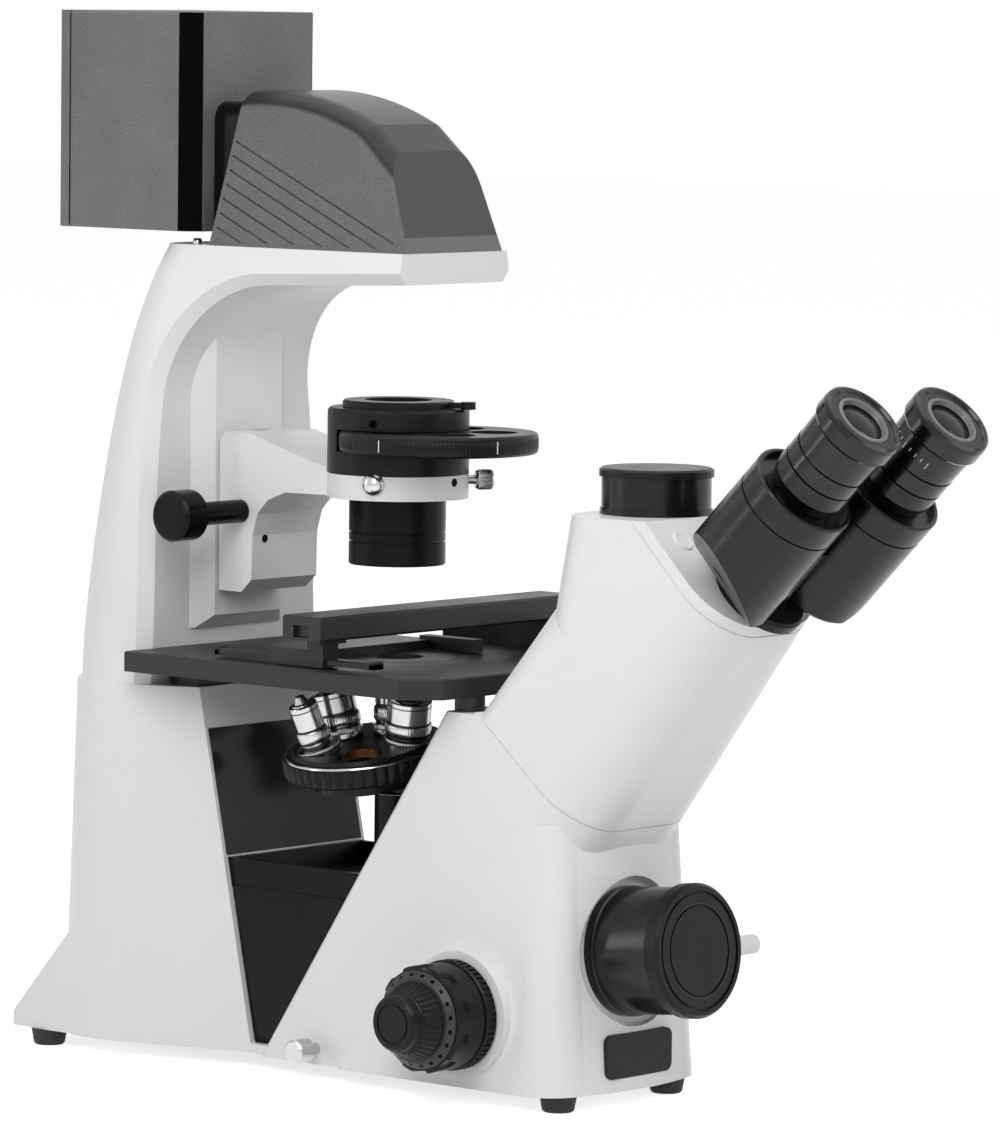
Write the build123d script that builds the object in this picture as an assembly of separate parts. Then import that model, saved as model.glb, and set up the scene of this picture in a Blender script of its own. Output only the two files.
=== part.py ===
"""Inverted trinocular microscope, modelled as it comes apart on a bench.

Millimetres. While it is modelled, X points to the user at the front, Y to the user's right and Z up,
with the optical axis of the specimen at X = Y = 0 and the bench at Z = 0. At the end every piece is
moved by one shift, so that the origin is the middle of the bottom of the whole instrument.
"""
import os
from math import atan2, cos, degrees, hypot, pi, radians, sin, tan

from build123d import *

# Fits and gaps
RUNNING = 0.05
SEAT_GAP = 0.2
MOVE_GAP = 0.5

# Feet and base casting
FOOT_HEIGHT = 9.0
FOOT_RADIUS = 10.0
FOOT_BASE_RADIUS = 8.5
FRONT_FOOT_X = 156.0
FRONT_FOOT_Y = 44.0
REAR_FOOT_X = -188.0
REAR_FOOT_Y = 72.0
SEAM_HEIGHT = 203.0
COLUMN_FRONT_LOW = -50.0
COLUMN_FRONT_TOP = -92.0
COLUMN_FRONT_HALF_LOW = 57.0
COLUMN_FRONT_HALF_TOP = 56.0
COLUMN_CREASE_LOW = -133.0
COLUMN_CREASE_TOP = -131.0
COLUMN_HALF_LOW = 83.0
COLUMN_HALF_TOP = 75.0
COLUMN_REAR_LOW = -190.0
COLUMN_REAR_TOP = -189.7
COLUMN_REAR_ROUND = 42.0
CAST_WALL = 8.0
HEEL_LENGTH = 211.0
HEEL_HEIGHT = 66.0
HEEL_TOE = 14.0
HEEL_START = 165.0
HEEL_HALF = 80.0
FLOOR_THICK = 5.0
FLOOR_HALF = 58.0
PLATE_THICK = 2.5
PLATE_REAR = -150.0
PLATE_FRONT = 96.0
PLATE_HALF = 44.0

# Inclined front arm and head
INCLINE = 50.0
SEAM_X = 104.0
SEAM_Z = SEAM_HEIGHT + 2.0
SEAM_DEPTH = 92.0
SEAM_HALF = 54.0
ARM_HALF_LOW = 64.0
ARM_LENGTH = 1.028 * SEAM_Z / sin(radians(INCLINE))
ARM_REAR_TOP = 82.0
ARM_REAR_LOW = -40.0
SHOULDER_Z = SEAM_HEIGHT + 1.0
FRONT_ROUND = 34.0
REAR_ROUND = 10.0
BLOCK_REAR = 20.0
BLOCK_FRONT = 170.0
BLOCK_HALF = 66.0
BLOCK_NOSE_HALF = 64.0
BLOCK_ROUND = 24.0
BLOCK_BOW = 5.0
BLOCK_TOP = 150.0
BLOCK_DRAFT = 3.8
BLOCK_TUCK = 62.0
HEAD_KNEE_X = 141.0
HEAD_KNEE_Z = SEAM_Z + 60.0
HEAD_TOP_X = 148.0
HEAD_TOP_Z = SEAM_Z + 106.0
HEAD_HALF_TOP = 46.0
HEAD_REACH = 142.7
HEAD_DEPTH_TOP = 87.4
HEAD_REAR_ROUND = 30.0
FACE_SUM = HEAD_TOP_Z + 210.0
FACE_LIP = 6.0
GROOVE_WIDTH = 1.0
GROOVE_DEPTH = 0.8
BEAM_OFFSET = 36.0
BEAM_RADIUS = 20.0
SEAM_HOLLOW_LOW = 45.0
SEAM_HOLLOW_HIGH = 96.0

# Illumination pillar, hood and lamp house
PILLAR_TOP = SEAM_HEIGHT + 238.0
PILLAR_FRONT = -119.0
PILLAR_SHAPE = (
    (0.0, 0.9733, 0.9467, 0.9942, 1.0), (0.4202, 0.9333, 0.8667, 0.9341, 0.9524),
    (0.5882, 0.8933, 0.8267, 0.8930, 0.8810), (0.8151, 0.7867, 0.6800, 0.8234, 0.7143),
    (1.0, 0.6400, 0.5467, 0.7169, 0.4762),
)
ARCH_RADIUS = 64.0
SLAB_FRONT = 39.0
SLAB_THICK = 16.5
SLAB_ROOT_THICK = 20.0
PILLAR_EDGE = 6.5
PAD_FRONT = -109.5
PAD_HALF = 26.0
PAD_ROOT_HALF = 36.0
PAD_BOTTOM = SEAM_HEIGHT + 29.0
PAD_TOP = PILLAR_TOP - 43.0
HOOD_REAR = -98.0
HOOD_FRONT = 39.0
HOOD_HALF_REAR = 45.0
HOOD_HALF_FRONT = 38.0
HOOD_TOP_REAR = PILLAR_TOP + 83.0
HOOD_TOP_FRONT = PILLAR_TOP + 67.0
HOOD_BROW = 6.0
HOOD_DRAFT = 7.0
HOOD_ROUND = 12.0
HOOD_WALL = 3.0
HOOD_LEAN = 15.0
HOOD_GROOVES = 8
HOOD_GROOVE_PITCH = 8.3
HOOD_GROOVE_WIDTH = 1.1
HOOD_GROOVE_DEPTH = 0.9
HOOD_GROOVE_TILT = 24.0
LAMP_REAR = -206.0
LAMP_FRONT = -105.0
LAMP_HALF = 52.5
LAMP_BOTTOM = PILLAR_TOP + 7.0
LAMP_TOP = LAMP_BOTTOM + 118.0
LAMP_CHAMFER = 9.5
LAMP_WALL = 3.0
LAMP_COVER = 10.0
NECK_HALF = 34.0
NECK_BOTTOM = PILLAR_TOP + 5.0
NECK_TOP = NECK_BOTTOM + 72.0
BEAM_HEIGHT = (NECK_BOTTOM + NECK_TOP) / 2 + 2.0
LENS_RADIUS = 20.0
FIELD_RADIUS = 18.0

# Stage
STAGE_REAR = -117.5
STAGE_FRONT = 97.0
STAGE_HALF = 88.0
STAGE_BOTTOM = SEAM_HEIGHT + 9.0
STAGE_TOP = STAGE_BOTTOM + 11.0
STAGE_CHAMFER = 17.0
INSERT_RADIUS = 55.0
INSERT_THICK = 3.0
INSERT_LEDGE = 5.0
INSERT_HOLE = 15.0
POST_RADIUS = 8.0
POST_FRONT_X = 90.0
POST_FRONT_Y = 42.0
POST_REAR_X = -104.0
POST_REAR_Y = 48.0
BAR_X = 18.5
BAR_HALF_X = 13.5
BAR_HALF_Y = 95.0
BAR_BOTTOM = STAGE_TOP + 16.0
BAR_TOP = BAR_BOTTOM + 13.0
HOLDER_Y = -74.0
HOLDER_TOP = STAGE_TOP + 9.5
STALK_Y = 103.5
STALK_RADIUS = 7.0
STAGE_KNOB_RADIUS = 12.0
STAGE_KNOB_HEIGHT = 16.0

# Condenser
RAIL_HALF = 15.0
RAIL_THICK = 5.0
RAIL_BOTTOM = STAGE_TOP + 31.0
RAIL_TOP = STAGE_TOP + 116.0
RACK_HALF = 6.0
PINION_RADIUS = 5.0
KNOB_JOURNAL = 4.0
KNOB_AXIS_X = -90.4
KNOB_AXIS_Z = STAGE_TOP + 74.0
KNOB_SHAFT_RADIUS = 6.3
KNOB_RADIUS = 13.7
KNOB_LENGTH = 18.0
KNOB_REACH = 82.0
CARRIER_HALF = 26.0
CARRIER_BOTTOM = STAGE_TOP + 30.0
CARRIER_TOP = STAGE_TOP + 116.5
RING_RADIUS = 38.0
RING_BOTTOM = STAGE_TOP + 86.0
RING_TOP = RING_BOTTOM + 13.0
BARREL_RADIUS = 26.0
BARREL_BOTTOM = STAGE_TOP + 50.0
HOUSING_TOP = RING_TOP + 35.0
DISC_OFFSET = 29.0
DISC_RADIUS = 53.0
DISC_BOTTOM = RING_TOP + 12.5
DISC_THICK = 11.0
DISC_HOLE = 13.0
DISC_PIN = 4.0
DISC_STOPS = 5
IRIS_THICK = 4.0
IRIS_RADIUS = 30.0
IRIS_LEVER = 40.0
SCREW_ANGLE = 52.0

# Nosepiece and objectives
NOSE_TILT = 12.0
NOSE_PITCH = 25.0
NOSE_Z = STAGE_BOTTOM - 33.4
NOSE_RADIUS = 44.0
NOSE_RIM = 12.0
NOSE_PLATE = 2.0
NOSE_STOPS = 5
OBJECTIVE_BORE = 10.16
OBJECTIVE_THREAD = 5.0
OBJECTIVE_SOCKET = 6.0
OBJECTIVE_LIGHT = 8.0
SPOT_FACE = 12.4
BRACKET_RADIUS = 30.0
BRACKET_THICK = 7.0

# Black tray between the column and the arm
TRAY_TOP = NOSE_Z - 66.1
TRAY_HALF = 53.5
TRAY_DEPTH = 12.0
TRAY_WALL = 3.0
TRAY_LIP = 16.0
TRAY_LEDGE = 24.0
LIGHT_TUBE_RADIUS = 10.7
LIGHT_TUBE_WALL = 1.7
LIGHT_TUBE_TOP = NOSE_Z - 29.6
TUBE_ROOM = 3.3

# Focus drive
FOCUS_X = 105.0
FOCUS_Z = 48.0
FINE_WIDTH = 17.0
COLLAR_REACH = 67.0
COLLAR_RADIUS = 33.0
TENSION_RADIUS = 29.0
TENSION_WIDTH = 7.5
COARSE_RADIUS = 28.0
COARSE_WIDTH = 24.0
COARSE_WIDTH_RIGHT = 18.0
FINE_RADIUS = 15.5
FINE_WIDTH_RIGHT = 12.0
GRIP_COUNT = 10
GRIP_WIDTH = 8.0
FINE_RIDGES = 26
TENSION_RIDGES = 54
COARSE_SHAFT = 6.0
FINE_SHAFT = 3.4
FOCUS_PINION = 6.0
IDLER_RADIUS = 31.0
RACK_Y = 18.0
RACK_WIDTH = 14.0
RACK_THICK = 8.0

# Ports, tubes and eyepieces
TRINO_X = 180.0
TRINO_RADIUS = 28.6
TRINO_HEIGHT = 19.5
TRINO_BORE = 19.0
TRINO_DEPTH = 24.0
TRINO_WELL = 15.0
CAP_THICK = 5.0
CAP_RIM = 1.3
PORT_Z = 80.5
PORT_TILT = 6.0
PORT_RADIUS = 33.3
PORT_REAR = 164.0
PORT_LENGTH = 41.0
PORT_CAP = 9.0
PORT_BORE = 24.0
PORT_DEPTH = 32.0
PORT_WELL = 18.0
EYE_HALF = 34.5
EYE_LINE = 47.0
EYE_TURN = -3.2
DRUM_RADIUS = 28.3
DRUM_LIFT = 8.0
DRUM_LENGTH = 75.0
DRUM_CUT = 30.0
DRUM_CUT_RISE = 27.0
EYE_TUBE_RADIUS = 20.6
EYE_TUBE_ROOT = 18.5
DRUM_RIM = 2.5
DRUM_SINK = 3.5
EYE_TUBE_LENGTH = 14.0
EYE_RADIUS = 22.8
EYE_LENGTH = 39.5
EYE_BORE = 15.0

# Rods, plates and electrics
ROD_X = 1.0
ROD_Z = 17.5
ROD_KNOB_RADIUS = 6.3
ROD_KNOB_REACH = 80.0
PORT_ROD_X = 156.0
PORT_ROD_Z = 72.0
PORT_ROD_KNOB = 5.4
PORT_ROD_REACH = 117.0
LABEL_WIDTH = 52.0
LABEL_HEIGHT = 23.0
LABEL_Z = 27.5
LABEL_ROUND = 4.5
INLET_WIDTH = 28.0
INLET_HEIGHT = 22.0
INLET_Z = 46.0
SWITCH_WIDTH = 13.0
SWITCH_HEIGHT = 20.0
SWITCH_Y = 34.0

# Directions of the inclined pieces
ARM_AXIS = Vector(cos(radians(INCLINE)), 0, sin(radians(INCLINE)))
ARM_DOWN = Vector(sin(radians(INCLINE)), 0, -cos(radians(INCLINE)))
FACE_AXIS = Vector(cos(radians(45)), 0, sin(radians(45)))
FACE_DOWN = Vector(sin(radians(45)), 0, -cos(radians(45)))
SEAM_POINT = Vector(SEAM_X, 0, SEAM_Z)
FACE_POINT = Vector(FACE_SUM - HEAD_TOP_Z + 5.0, 0, HEAD_TOP_Z - 5.0)
EYE_POINT = FACE_POINT + FACE_DOWN * EYE_LINE


def side_prism(points, half):
    """A closed outline in X and Z, extruded to both sides of Y = 0."""
    return extrude(Plane.XZ * make_face(Polyline(*points, close=True)), half, both=True)


def plan_prism(points, low, high):
    """A closed outline in X and Y, extruded from one height to another."""
    return extrude(Plane.XY.offset(low) * make_face(Polyline(*points, close=True)), high - low)


def block(x0, x1, y0, y1, z0, z1):
    """A plain block between two corners."""
    middle = Pos((x0 + x1) / 2, (y0 + y1) / 2, (z0 + z1) / 2)
    return middle * Box(abs(x1 - x0), abs(y1 - y0), abs(z1 - z0))


def turned(*profile):
    """A profile of radius and height, turned about Z."""
    return revolve(Plane.XZ * make_face(Polyline(*profile, close=True)), Axis.Z)


def disc(radius, low, high, x=0.0, y=0.0):
    """An upright cylinder."""
    return Pos(x, y, (low + high) / 2) * Cylinder(radius, high - low)


def to_left(x, z, y=0.0):
    """Place for a piece whose own Z becomes the way out to the left."""
    return Pos(x, y, z) * Rot(90, 0, 0)


def to_right(x, z, y=0.0):
    """Place for a piece whose own Z becomes the way out to the right."""
    return Pos(x, y, z) * Rot(-90, 0, 0)


def knurl(radius, low, high, depth, count, share=0.5):
    """Grooves along Z round a cylinder, as one tool to cut away."""
    width = 2 * pi * radius / count * share
    groove = block(radius - depth, radius + depth, -width / 2, width / 2, low, high)
    return [Rot(0, 0, 360 * k / count) * groove for k in range(count)]


def arm_plane(lift, drop=0.0):
    """A plane across the inclined arm, a length up from the seam."""
    origin = SEAM_POINT + ARM_AXIS * lift + ARM_DOWN * drop
    return Plane(origin, x_dir=ARM_DOWN, z_dir=ARM_AXIS)


def arm_section(lift, depth, half):
    """The arm's section: open far to the rear, with a broad round front."""
    back = -2 * SEAM_DEPTH
    outline = FilletPolyline(
        (back, -half), (depth, -half), (depth, half), (back, half),
        radius=[0, FRONT_ROUND, FRONT_ROUND, 0], close=True,
    )
    return arm_plane(lift) * make_face(outline)


def arm_rear_x(height):
    """Where the arm's rear face stands at a height."""
    share = (height - FOOT_HEIGHT) / (SHOULDER_Z - FOOT_HEIGHT)
    return ARM_REAR_LOW + share * (ARM_REAR_TOP - ARM_REAR_LOW)


def column_front_x(height):
    """Where the column's lower front face stands at a height."""
    share = (height - FOOT_HEIGHT) / (SEAM_HEIGHT - FOOT_HEIGHT)
    return COLUMN_FRONT_LOW + share * (COLUMN_FRONT_TOP - COLUMN_FRONT_LOW)


def column_section(height, front, front_half, crease, half, rear):
    """The lower column's plan: narrow at the front, wide behind a crease, round at the rear."""
    outline = FilletPolyline(
        (front, -front_half), (front, front_half), (crease, half),
        (rear, half), (rear, -half), (crease, -half),
        radius=[0, 0, 0, COLUMN_REAR_ROUND, COLUMN_REAR_ROUND, 0], close=True,
    )
    return Plane.XY.offset(height) * make_face(outline)


def rear_column():
    low = column_section(
        FOOT_HEIGHT, COLUMN_FRONT_LOW, COLUMN_FRONT_HALF_LOW,
        COLUMN_CREASE_LOW, COLUMN_HALF_LOW, COLUMN_REAR_LOW,
    )
    top = column_section(
        SEAM_HEIGHT, COLUMN_FRONT_TOP, COLUMN_FRONT_HALF_TOP,
        COLUMN_CREASE_TOP, COLUMN_HALF_TOP, COLUMN_REAR_TOP,
    )
    heel = side_prism(
        [
            (COLUMN_CREASE_LOW, FOOT_HEIGHT), (-HEEL_LENGTH, FOOT_HEIGHT), (-HEEL_LENGTH, HEEL_TOE),
            (-HEEL_START, HEEL_HEIGHT), (COLUMN_CREASE_LOW, HEEL_HEIGHT),
        ],
        HEEL_HALF,
    )
    toe_edges = heel.edges().filter_by(Axis.Z).group_by(Axis.X)[0]
    heel = fillet(toe_edges, HEEL_TOE - FOOT_HEIGHT)
    return loft([low, top], ruled=True) + heel


def column_cavity():
    """The hollow inside the lower column, open to the bottom plate and by a cable hole to the pillar."""
    low = FOOT_HEIGHT + CAST_WALL
    high = SEAM_HEIGHT - CAST_WALL
    half = COLUMN_HALF_LOW - CAST_WALL
    outlines = []
    for height in (low, high):
        front = column_front_x(height) - CAST_WALL
        front_half = COLUMN_FRONT_HALF_TOP - CAST_WALL
        share = (height - FOOT_HEIGHT) / (SEAM_HEIGHT - FOOT_HEIGHT)
        wide = half + share * (COLUMN_HALF_TOP - COLUMN_HALF_LOW)
        outlines.append(column_section(
            height, front, front_half, COLUMN_CREASE_LOW, wide, COLUMN_REAR_TOP + CAST_WALL,
        ))
    hollow = loft(outlines, ruled=True)
    boss = INLET_Z + INLET_HEIGHT / 2 + 2 * CAST_WALL
    hollow -= block(COLUMN_REAR_LOW, COLUMN_REAR_LOW + 28.0, -COLUMN_HALF_LOW, COLUMN_HALF_LOW, 0, boss)
    plate_edge = PLATE_HALF - CAST_WALL / 2
    hollow += block(
        PLATE_REAR + CAST_WALL, COLUMN_FRONT_LOW - 2 * CAST_WALL, -plate_edge, plate_edge,
        FOOT_HEIGHT - 1, low + 1,
    )
    return hollow + disc(CAST_WALL, high - 1, SEAM_HEIGHT + 1, x=PILLAR_FRONT - 3 * CAST_WALL)


def front_arm():
    """The inclined arm below the seam, with its flat shoulder under the stage."""
    rounded = loft([arm_section(-ARM_LENGTH, SEAM_DEPTH, ARM_HALF_LOW), arm_section(0, SEAM_DEPTH, SEAM_HALF)])
    front = SEAM_POINT + ARM_DOWN * SEAM_DEPTH
    foot_x = front.X - (front.Z - FOOT_HEIGHT) / tan(radians(INCLINE))
    side = side_prism(
        [
            (ARM_REAR_LOW, FOOT_HEIGHT), (ARM_REAR_TOP, SHOULDER_Z), (SEAM_X, SHOULDER_Z),
            (SEAM_X, SEAM_Z), (front.X, front.Z), (foot_x, FOOT_HEIGHT),
        ],
        2 * ARM_HALF_LOW,
    )
    arm = rounded & side
    rear = [e for e in arm.edges() if e.length > SHOULDER_Z and e.center().X < FOCUS_X / 2]
    return fillet(rear, REAR_ROUND / 2)


def front_block():
    """The upright nose of the base, tucked under the arm's round front."""
    nose = BLOCK_FRONT
    outline = [
        Line((BLOCK_REAR, -BLOCK_HALF), (nose - BLOCK_ROUND, -BLOCK_NOSE_HALF)),
        Line((nose - BLOCK_ROUND, BLOCK_NOSE_HALF), (BLOCK_REAR, BLOCK_HALF)),
        Line((BLOCK_REAR, BLOCK_HALF), (BLOCK_REAR, -BLOCK_HALF)),
    ]
    corner = BLOCK_NOSE_HALF - BLOCK_ROUND
    outline.append(ThreePointArc((nose, -corner), (nose + BLOCK_BOW, 0), (nose, corner)))
    outline.append(TangentArc((nose - BLOCK_ROUND, -BLOCK_NOSE_HALF), (nose, -corner), tangent=(1, 0.03)))
    outline.append(TangentArc((nose - BLOCK_ROUND, BLOCK_NOSE_HALF), (nose, corner), tangent=(1, -0.03)))
    plan = Plane.XY.offset(FOOT_HEIGHT) * make_face(outline)
    body = extrude(plan, BLOCK_TOP - FOOT_HEIGHT, taper=BLOCK_DRAFT)
    tuck = arm_plane(0, BLOCK_TUCK)
    above = extrude(Plane(tuck.origin, x_dir=ARM_AXIS, z_dir=-ARM_DOWN) * Rectangle(900, 400), 400)
    return body - above


def seam_hollow():
    """The outline of the hollow that the arm and the head share at their seam."""
    edge = 1.2 * CAST_WALL
    outline = FilletPolyline(
        (edge, edge - SEAM_HALF), (SEAM_DEPTH - edge, edge - SEAM_HALF),
        (SEAM_DEPTH - edge, SEAM_HALF - edge), (edge, SEAM_HALF - edge),
        radius=[REAR_ROUND, FRONT_ROUND - edge, FRONT_ROUND - edge, REAR_ROUND], close=True,
    )
    return arm_plane(0) * make_face(outline)


def beam_bore():
    """The inclined light path from the mirror chamber to the seam."""
    return extrude(arm_plane(0, BEAM_OFFSET) * Circle(BEAM_RADIUS), -beam_length())


def beam_length():
    start = SEAM_POINT + ARM_DOWN * BEAM_OFFSET
    return start.X / cos(radians(INCLINE))


def mirror_height():
    start = SEAM_POINT + ARM_DOWN * BEAM_OFFSET
    return start.Z - start.X * tan(radians(INCLINE))


def port_place():
    """Place for the front port: its own Z runs out along the port."""
    return Pos(PORT_REAR, 0, PORT_Z) * Rot(0, 90 - PORT_TILT, 0)


def base_casting():
    floor = block(
        COLUMN_FRONT_LOW - 2 * FLOOR_THICK, ARM_REAR_LOW + 2 * FLOOR_THICK,
        -FLOOR_HALF, FLOOR_HALF, FOOT_HEIGHT, FOOT_HEIGHT + FLOOR_THICK,
    )
    body = rear_column() + floor + front_arm() + front_block()
    collar = to_left(FOCUS_X, FOCUS_Z) * disc(COLLAR_RADIUS, -COLLAR_REACH, COLLAR_REACH)
    body += collar
    body += port_place() * disc(PORT_RADIUS + 2.0, -20.0, 0.0)
    body -= port_place() * disc(PORT_RADIUS + 6.0, 0.0, 60.0)
    body -= plate_space(SEAT_GAP)
    body -= column_cavity()
    body -= extrude(seam_hollow(), -SEAM_HOLLOW_LOW)
    body -= beam_bore()
    body -= to_left(ROD_X, ROD_Z) * disc(3.0 + RUNNING, 0.0, 100.0)
    body -= slider_chamber()
    body -= to_left(FOCUS_X, FOCUS_Z) * disc(COARSE_SHAFT + RUNNING, -COLLAR_REACH, COLLAR_REACH)
    body -= gear_chamber()
    body -= port_place() * disc(PORT_WELL, -PORT_DEPTH, 1.0)
    body -= to_right(PORT_ROD_X, PORT_ROD_Z) * disc(3.0 + RUNNING, 0.0, 100.0)
    body -= port_chamber()
    body -= inlet_space(SEAT_GAP)
    body -= switch_space(MOVE_GAP)
    body -= label_space(SEAT_GAP)
    return body


def plate_space(gap):
    """The recess in the underside for the bottom plate."""
    return block(
        PLATE_REAR - gap, PLATE_FRONT + gap, -PLATE_HALF - gap, PLATE_HALF + gap,
        FOOT_HEIGHT - 1.0, FOOT_HEIGHT + PLATE_THICK,
    )


def base_plate():
    return block(
        PLATE_REAR, PLATE_FRONT, -PLATE_HALF, PLATE_HALF, FOOT_HEIGHT, FOOT_HEIGHT + PLATE_THICK,
    )


def rubber_feet():
    foot = turned(
        (0, 0), (FOOT_BASE_RADIUS - 1.0, 0), (FOOT_BASE_RADIUS, 1.0),
        (FOOT_RADIUS, FOOT_HEIGHT), (0, FOOT_HEIGHT),
    )
    spots = [(x, side * y) for x, y in ((FRONT_FOOT_X, FRONT_FOOT_Y), (REAR_FOOT_X, REAR_FOOT_Y)) for side in (-1, 1)]
    return [Pos(x, y, 0) * foot for x, y in spots]


def slider_chamber():
    """The chamber under the optical axis where the mirror carriage slides, with the shaft of light above it."""
    height = mirror_height()
    room = block(-19.0, 24.0, -40.0, 40.0, FOOT_HEIGHT + PLATE_THICK, height + 19.0)
    return room + disc(LIGHT_TUBE_RADIUS - LIGHT_TUBE_WALL, height, TRAY_TOP)


def idler_x():
    return FOCUS_X - FOCUS_PINION - IDLER_RADIUS


def rack_x():
    """The toothed side of the focus rack."""
    return idler_x() - IDLER_RADIUS


def gear_chamber():
    """Room in the casting for the pinion, the idler gear and the focus rack."""
    low = RACK_Y - RACK_WIDTH / 2 - 1.0
    high = RACK_Y + RACK_WIDTH / 2 + 1.0
    room = to_right(idler_x(), FOCUS_Z) * disc(IDLER_RADIUS + 1.5, low, high)
    room += to_right(FOCUS_X, FOCUS_Z) * disc(FOCUS_PINION + 3.0, low, high)
    room += to_right(idler_x(), FOCUS_Z) * disc(4.0 + RUNNING, low - 6.0, high + 6.0)
    room += block(
        rack_x() - RACK_THICK - MOVE_GAP, rack_x() + MOVE_GAP, low + MOVE_GAP, high - MOVE_GAP,
        FOOT_HEIGHT + PLATE_THICK, SHOULDER_Z - 40.0,
    )
    return room


def port_chamber():
    """Room behind the front port for the slide on the right-hand rod."""
    return block(
        PORT_ROD_X - 11.0, PORT_ROD_X + 9.0, -22.0, 52.0, PORT_ROD_Z - 12.0, PORT_ROD_Z + 20.0,
    )


def rear_wall_x(height):
    share = (height - FOOT_HEIGHT) / (SEAM_HEIGHT - FOOT_HEIGHT)
    return COLUMN_REAR_LOW + share * (COLUMN_REAR_TOP - COLUMN_REAR_LOW)


def inlet_space(gap):
    rear = rear_wall_x(INLET_Z)
    return block(
        rear - 6.0, rear + 24.0, -INLET_WIDTH / 2 - gap, INLET_WIDTH / 2 + gap,
        INLET_Z - INLET_HEIGHT / 2 - gap, INLET_Z + INLET_HEIGHT / 2 + gap,
    )


def power_inlet():
    rear = rear_wall_x(INLET_Z)
    half_y = INLET_WIDTH / 2
    half_z = INLET_HEIGHT / 2
    body = block(rear - 2.0, rear + 24.0, -half_y, half_y, INLET_Z - half_z, INLET_Z + half_z)
    body -= block(rear - 3.0, rear + 14.0, 4.0 - half_y, half_y - 4.0, INLET_Z - half_z + 4.0, INLET_Z + half_z - 4.0)
    for y in (-7.0, 0.0, 7.0):
        body += block(rear + 2.0, rear + 15.0, y - 1.0, y + 1.0, INLET_Z - 2.0, INLET_Z + 2.0)
    return body


def switch_space(gap):
    rear = rear_wall_x(INLET_Z)
    return block(
        rear - 6.0, rear + 18.0, SWITCH_Y - SWITCH_WIDTH / 2 - gap, SWITCH_Y + SWITCH_WIDTH / 2 + gap,
        INLET_Z - SWITCH_HEIGHT / 2 - 3 * gap, INLET_Z + SWITCH_HEIGHT / 2 + 3 * gap,
    )


def switch_pivot_x():
    return rear_wall_x(INLET_Z) + 6.0


def power_switch():
    rear = rear_wall_x(INLET_Z)
    half = SWITCH_HEIGHT / 2
    rocker = extrude(
        Plane.XZ * make_face(Polyline(
            (rear - 3.0, INLET_Z - half), (rear - 1.0, INLET_Z), (rear - 1.5, INLET_Z + half),
            (rear + 10.0, INLET_Z + half - 2.0), (rear + 10.0, INLET_Z - half + 2.0), close=True,
        )),
        SWITCH_WIDTH / 2, both=True,
    )
    pin = to_right(switch_pivot_x(), INLET_Z) * disc(1.5, -SWITCH_WIDTH / 2 - 0.4, SWITCH_WIDTH / 2 + 0.4)
    return Pos(0, SWITCH_Y, 0) * (rocker + pin)


def nose_front_x(height):
    """The nose's front face at its middle, with the draft of the casting."""
    return BLOCK_FRONT + BLOCK_BOW - (height - FOOT_HEIGHT) * tan(radians(BLOCK_DRAFT))


def label_space(gap):
    front = nose_front_x(LABEL_Z)
    space = block(
        front - 4.5, front + 10.0, -LABEL_WIDTH / 2 - gap, LABEL_WIDTH / 2 + gap,
        LABEL_Z - LABEL_HEIGHT / 2 - gap, LABEL_Z + LABEL_HEIGHT / 2 + gap,
    )
    return fillet(space.edges().filter_by(Axis.X), LABEL_ROUND + gap)


def label_plate():
    front = nose_front_x(LABEL_Z)
    plate = block(
        front - 4.5, front + 0.5, -LABEL_WIDTH / 2, LABEL_WIDTH / 2,
        LABEL_Z - LABEL_HEIGHT / 2, LABEL_Z + LABEL_HEIGHT / 2,
    )
    return fillet(plate.edges().filter_by(Axis.X), LABEL_ROUND)


def v_tray():
    """The open tray in the V, with closed side panels down to the floor of the casting."""
    low = FOOT_HEIGHT + FLOOR_THICK
    corners = [
        (column_front_x(TRAY_TOP) + SEAT_GAP, TRAY_TOP), (arm_rear_x(TRAY_TOP) - SEAT_GAP, TRAY_TOP),
        (arm_rear_x(low) - SEAT_GAP, low), (column_front_x(low) + SEAT_GAP, low),
    ]
    body = side_prism(corners, TRAY_HALF)
    pocket_low = TRAY_TOP - TRAY_DEPTH
    pocket = [
        (column_front_x(TRAY_TOP) + TRAY_WALL, TRAY_TOP + 1), (arm_rear_x(TRAY_TOP) - TRAY_WALL, TRAY_TOP + 1),
        (arm_rear_x(pocket_low) - TRAY_WALL, pocket_low), (column_front_x(pocket_low) + TRAY_WALL, pocket_low),
    ]
    body -= side_prism(pocket, TRAY_HALF - TRAY_WALL)
    below = [
        (column_front_x(pocket_low) - 20, pocket_low - TRAY_WALL), (arm_rear_x(TRAY_TOP), pocket_low - TRAY_WALL),
        (arm_rear_x(TRAY_TOP), low - 1), (column_front_x(pocket_low) - 20, low - 1),
    ]
    body -= side_prism(below, TRAY_HALF - TRAY_WALL)
    lip_low = TRAY_TOP - TRAY_LIP
    for side in (-1, 1):
        edge = block(-200, 200, side * (TRAY_HALF - 0.8), side * (TRAY_HALF + 5), low - 1, lip_low)
        body -= edge
    body -= disc(LIGHT_TUBE_RADIUS - 0.9 + RUNNING, low, TRAY_TOP)
    return body


def light_tube():
    floor = TRAY_TOP - TRAY_DEPTH
    bore = LIGHT_TUBE_RADIUS - LIGHT_TUBE_WALL
    return turned(
        (bore, floor - TRAY_WALL), (LIGHT_TUBE_RADIUS - 0.9, floor - TRAY_WALL), (LIGHT_TUBE_RADIUS - 0.9, floor),
        (LIGHT_TUBE_RADIUS + 1.5, floor), (LIGHT_TUBE_RADIUS + 1.5, floor + 3.0), (LIGHT_TUBE_RADIUS, floor + 3.0),
        (LIGHT_TUBE_RADIUS, LIGHT_TUBE_TOP), (bore, LIGHT_TUBE_TOP),
    )


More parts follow.
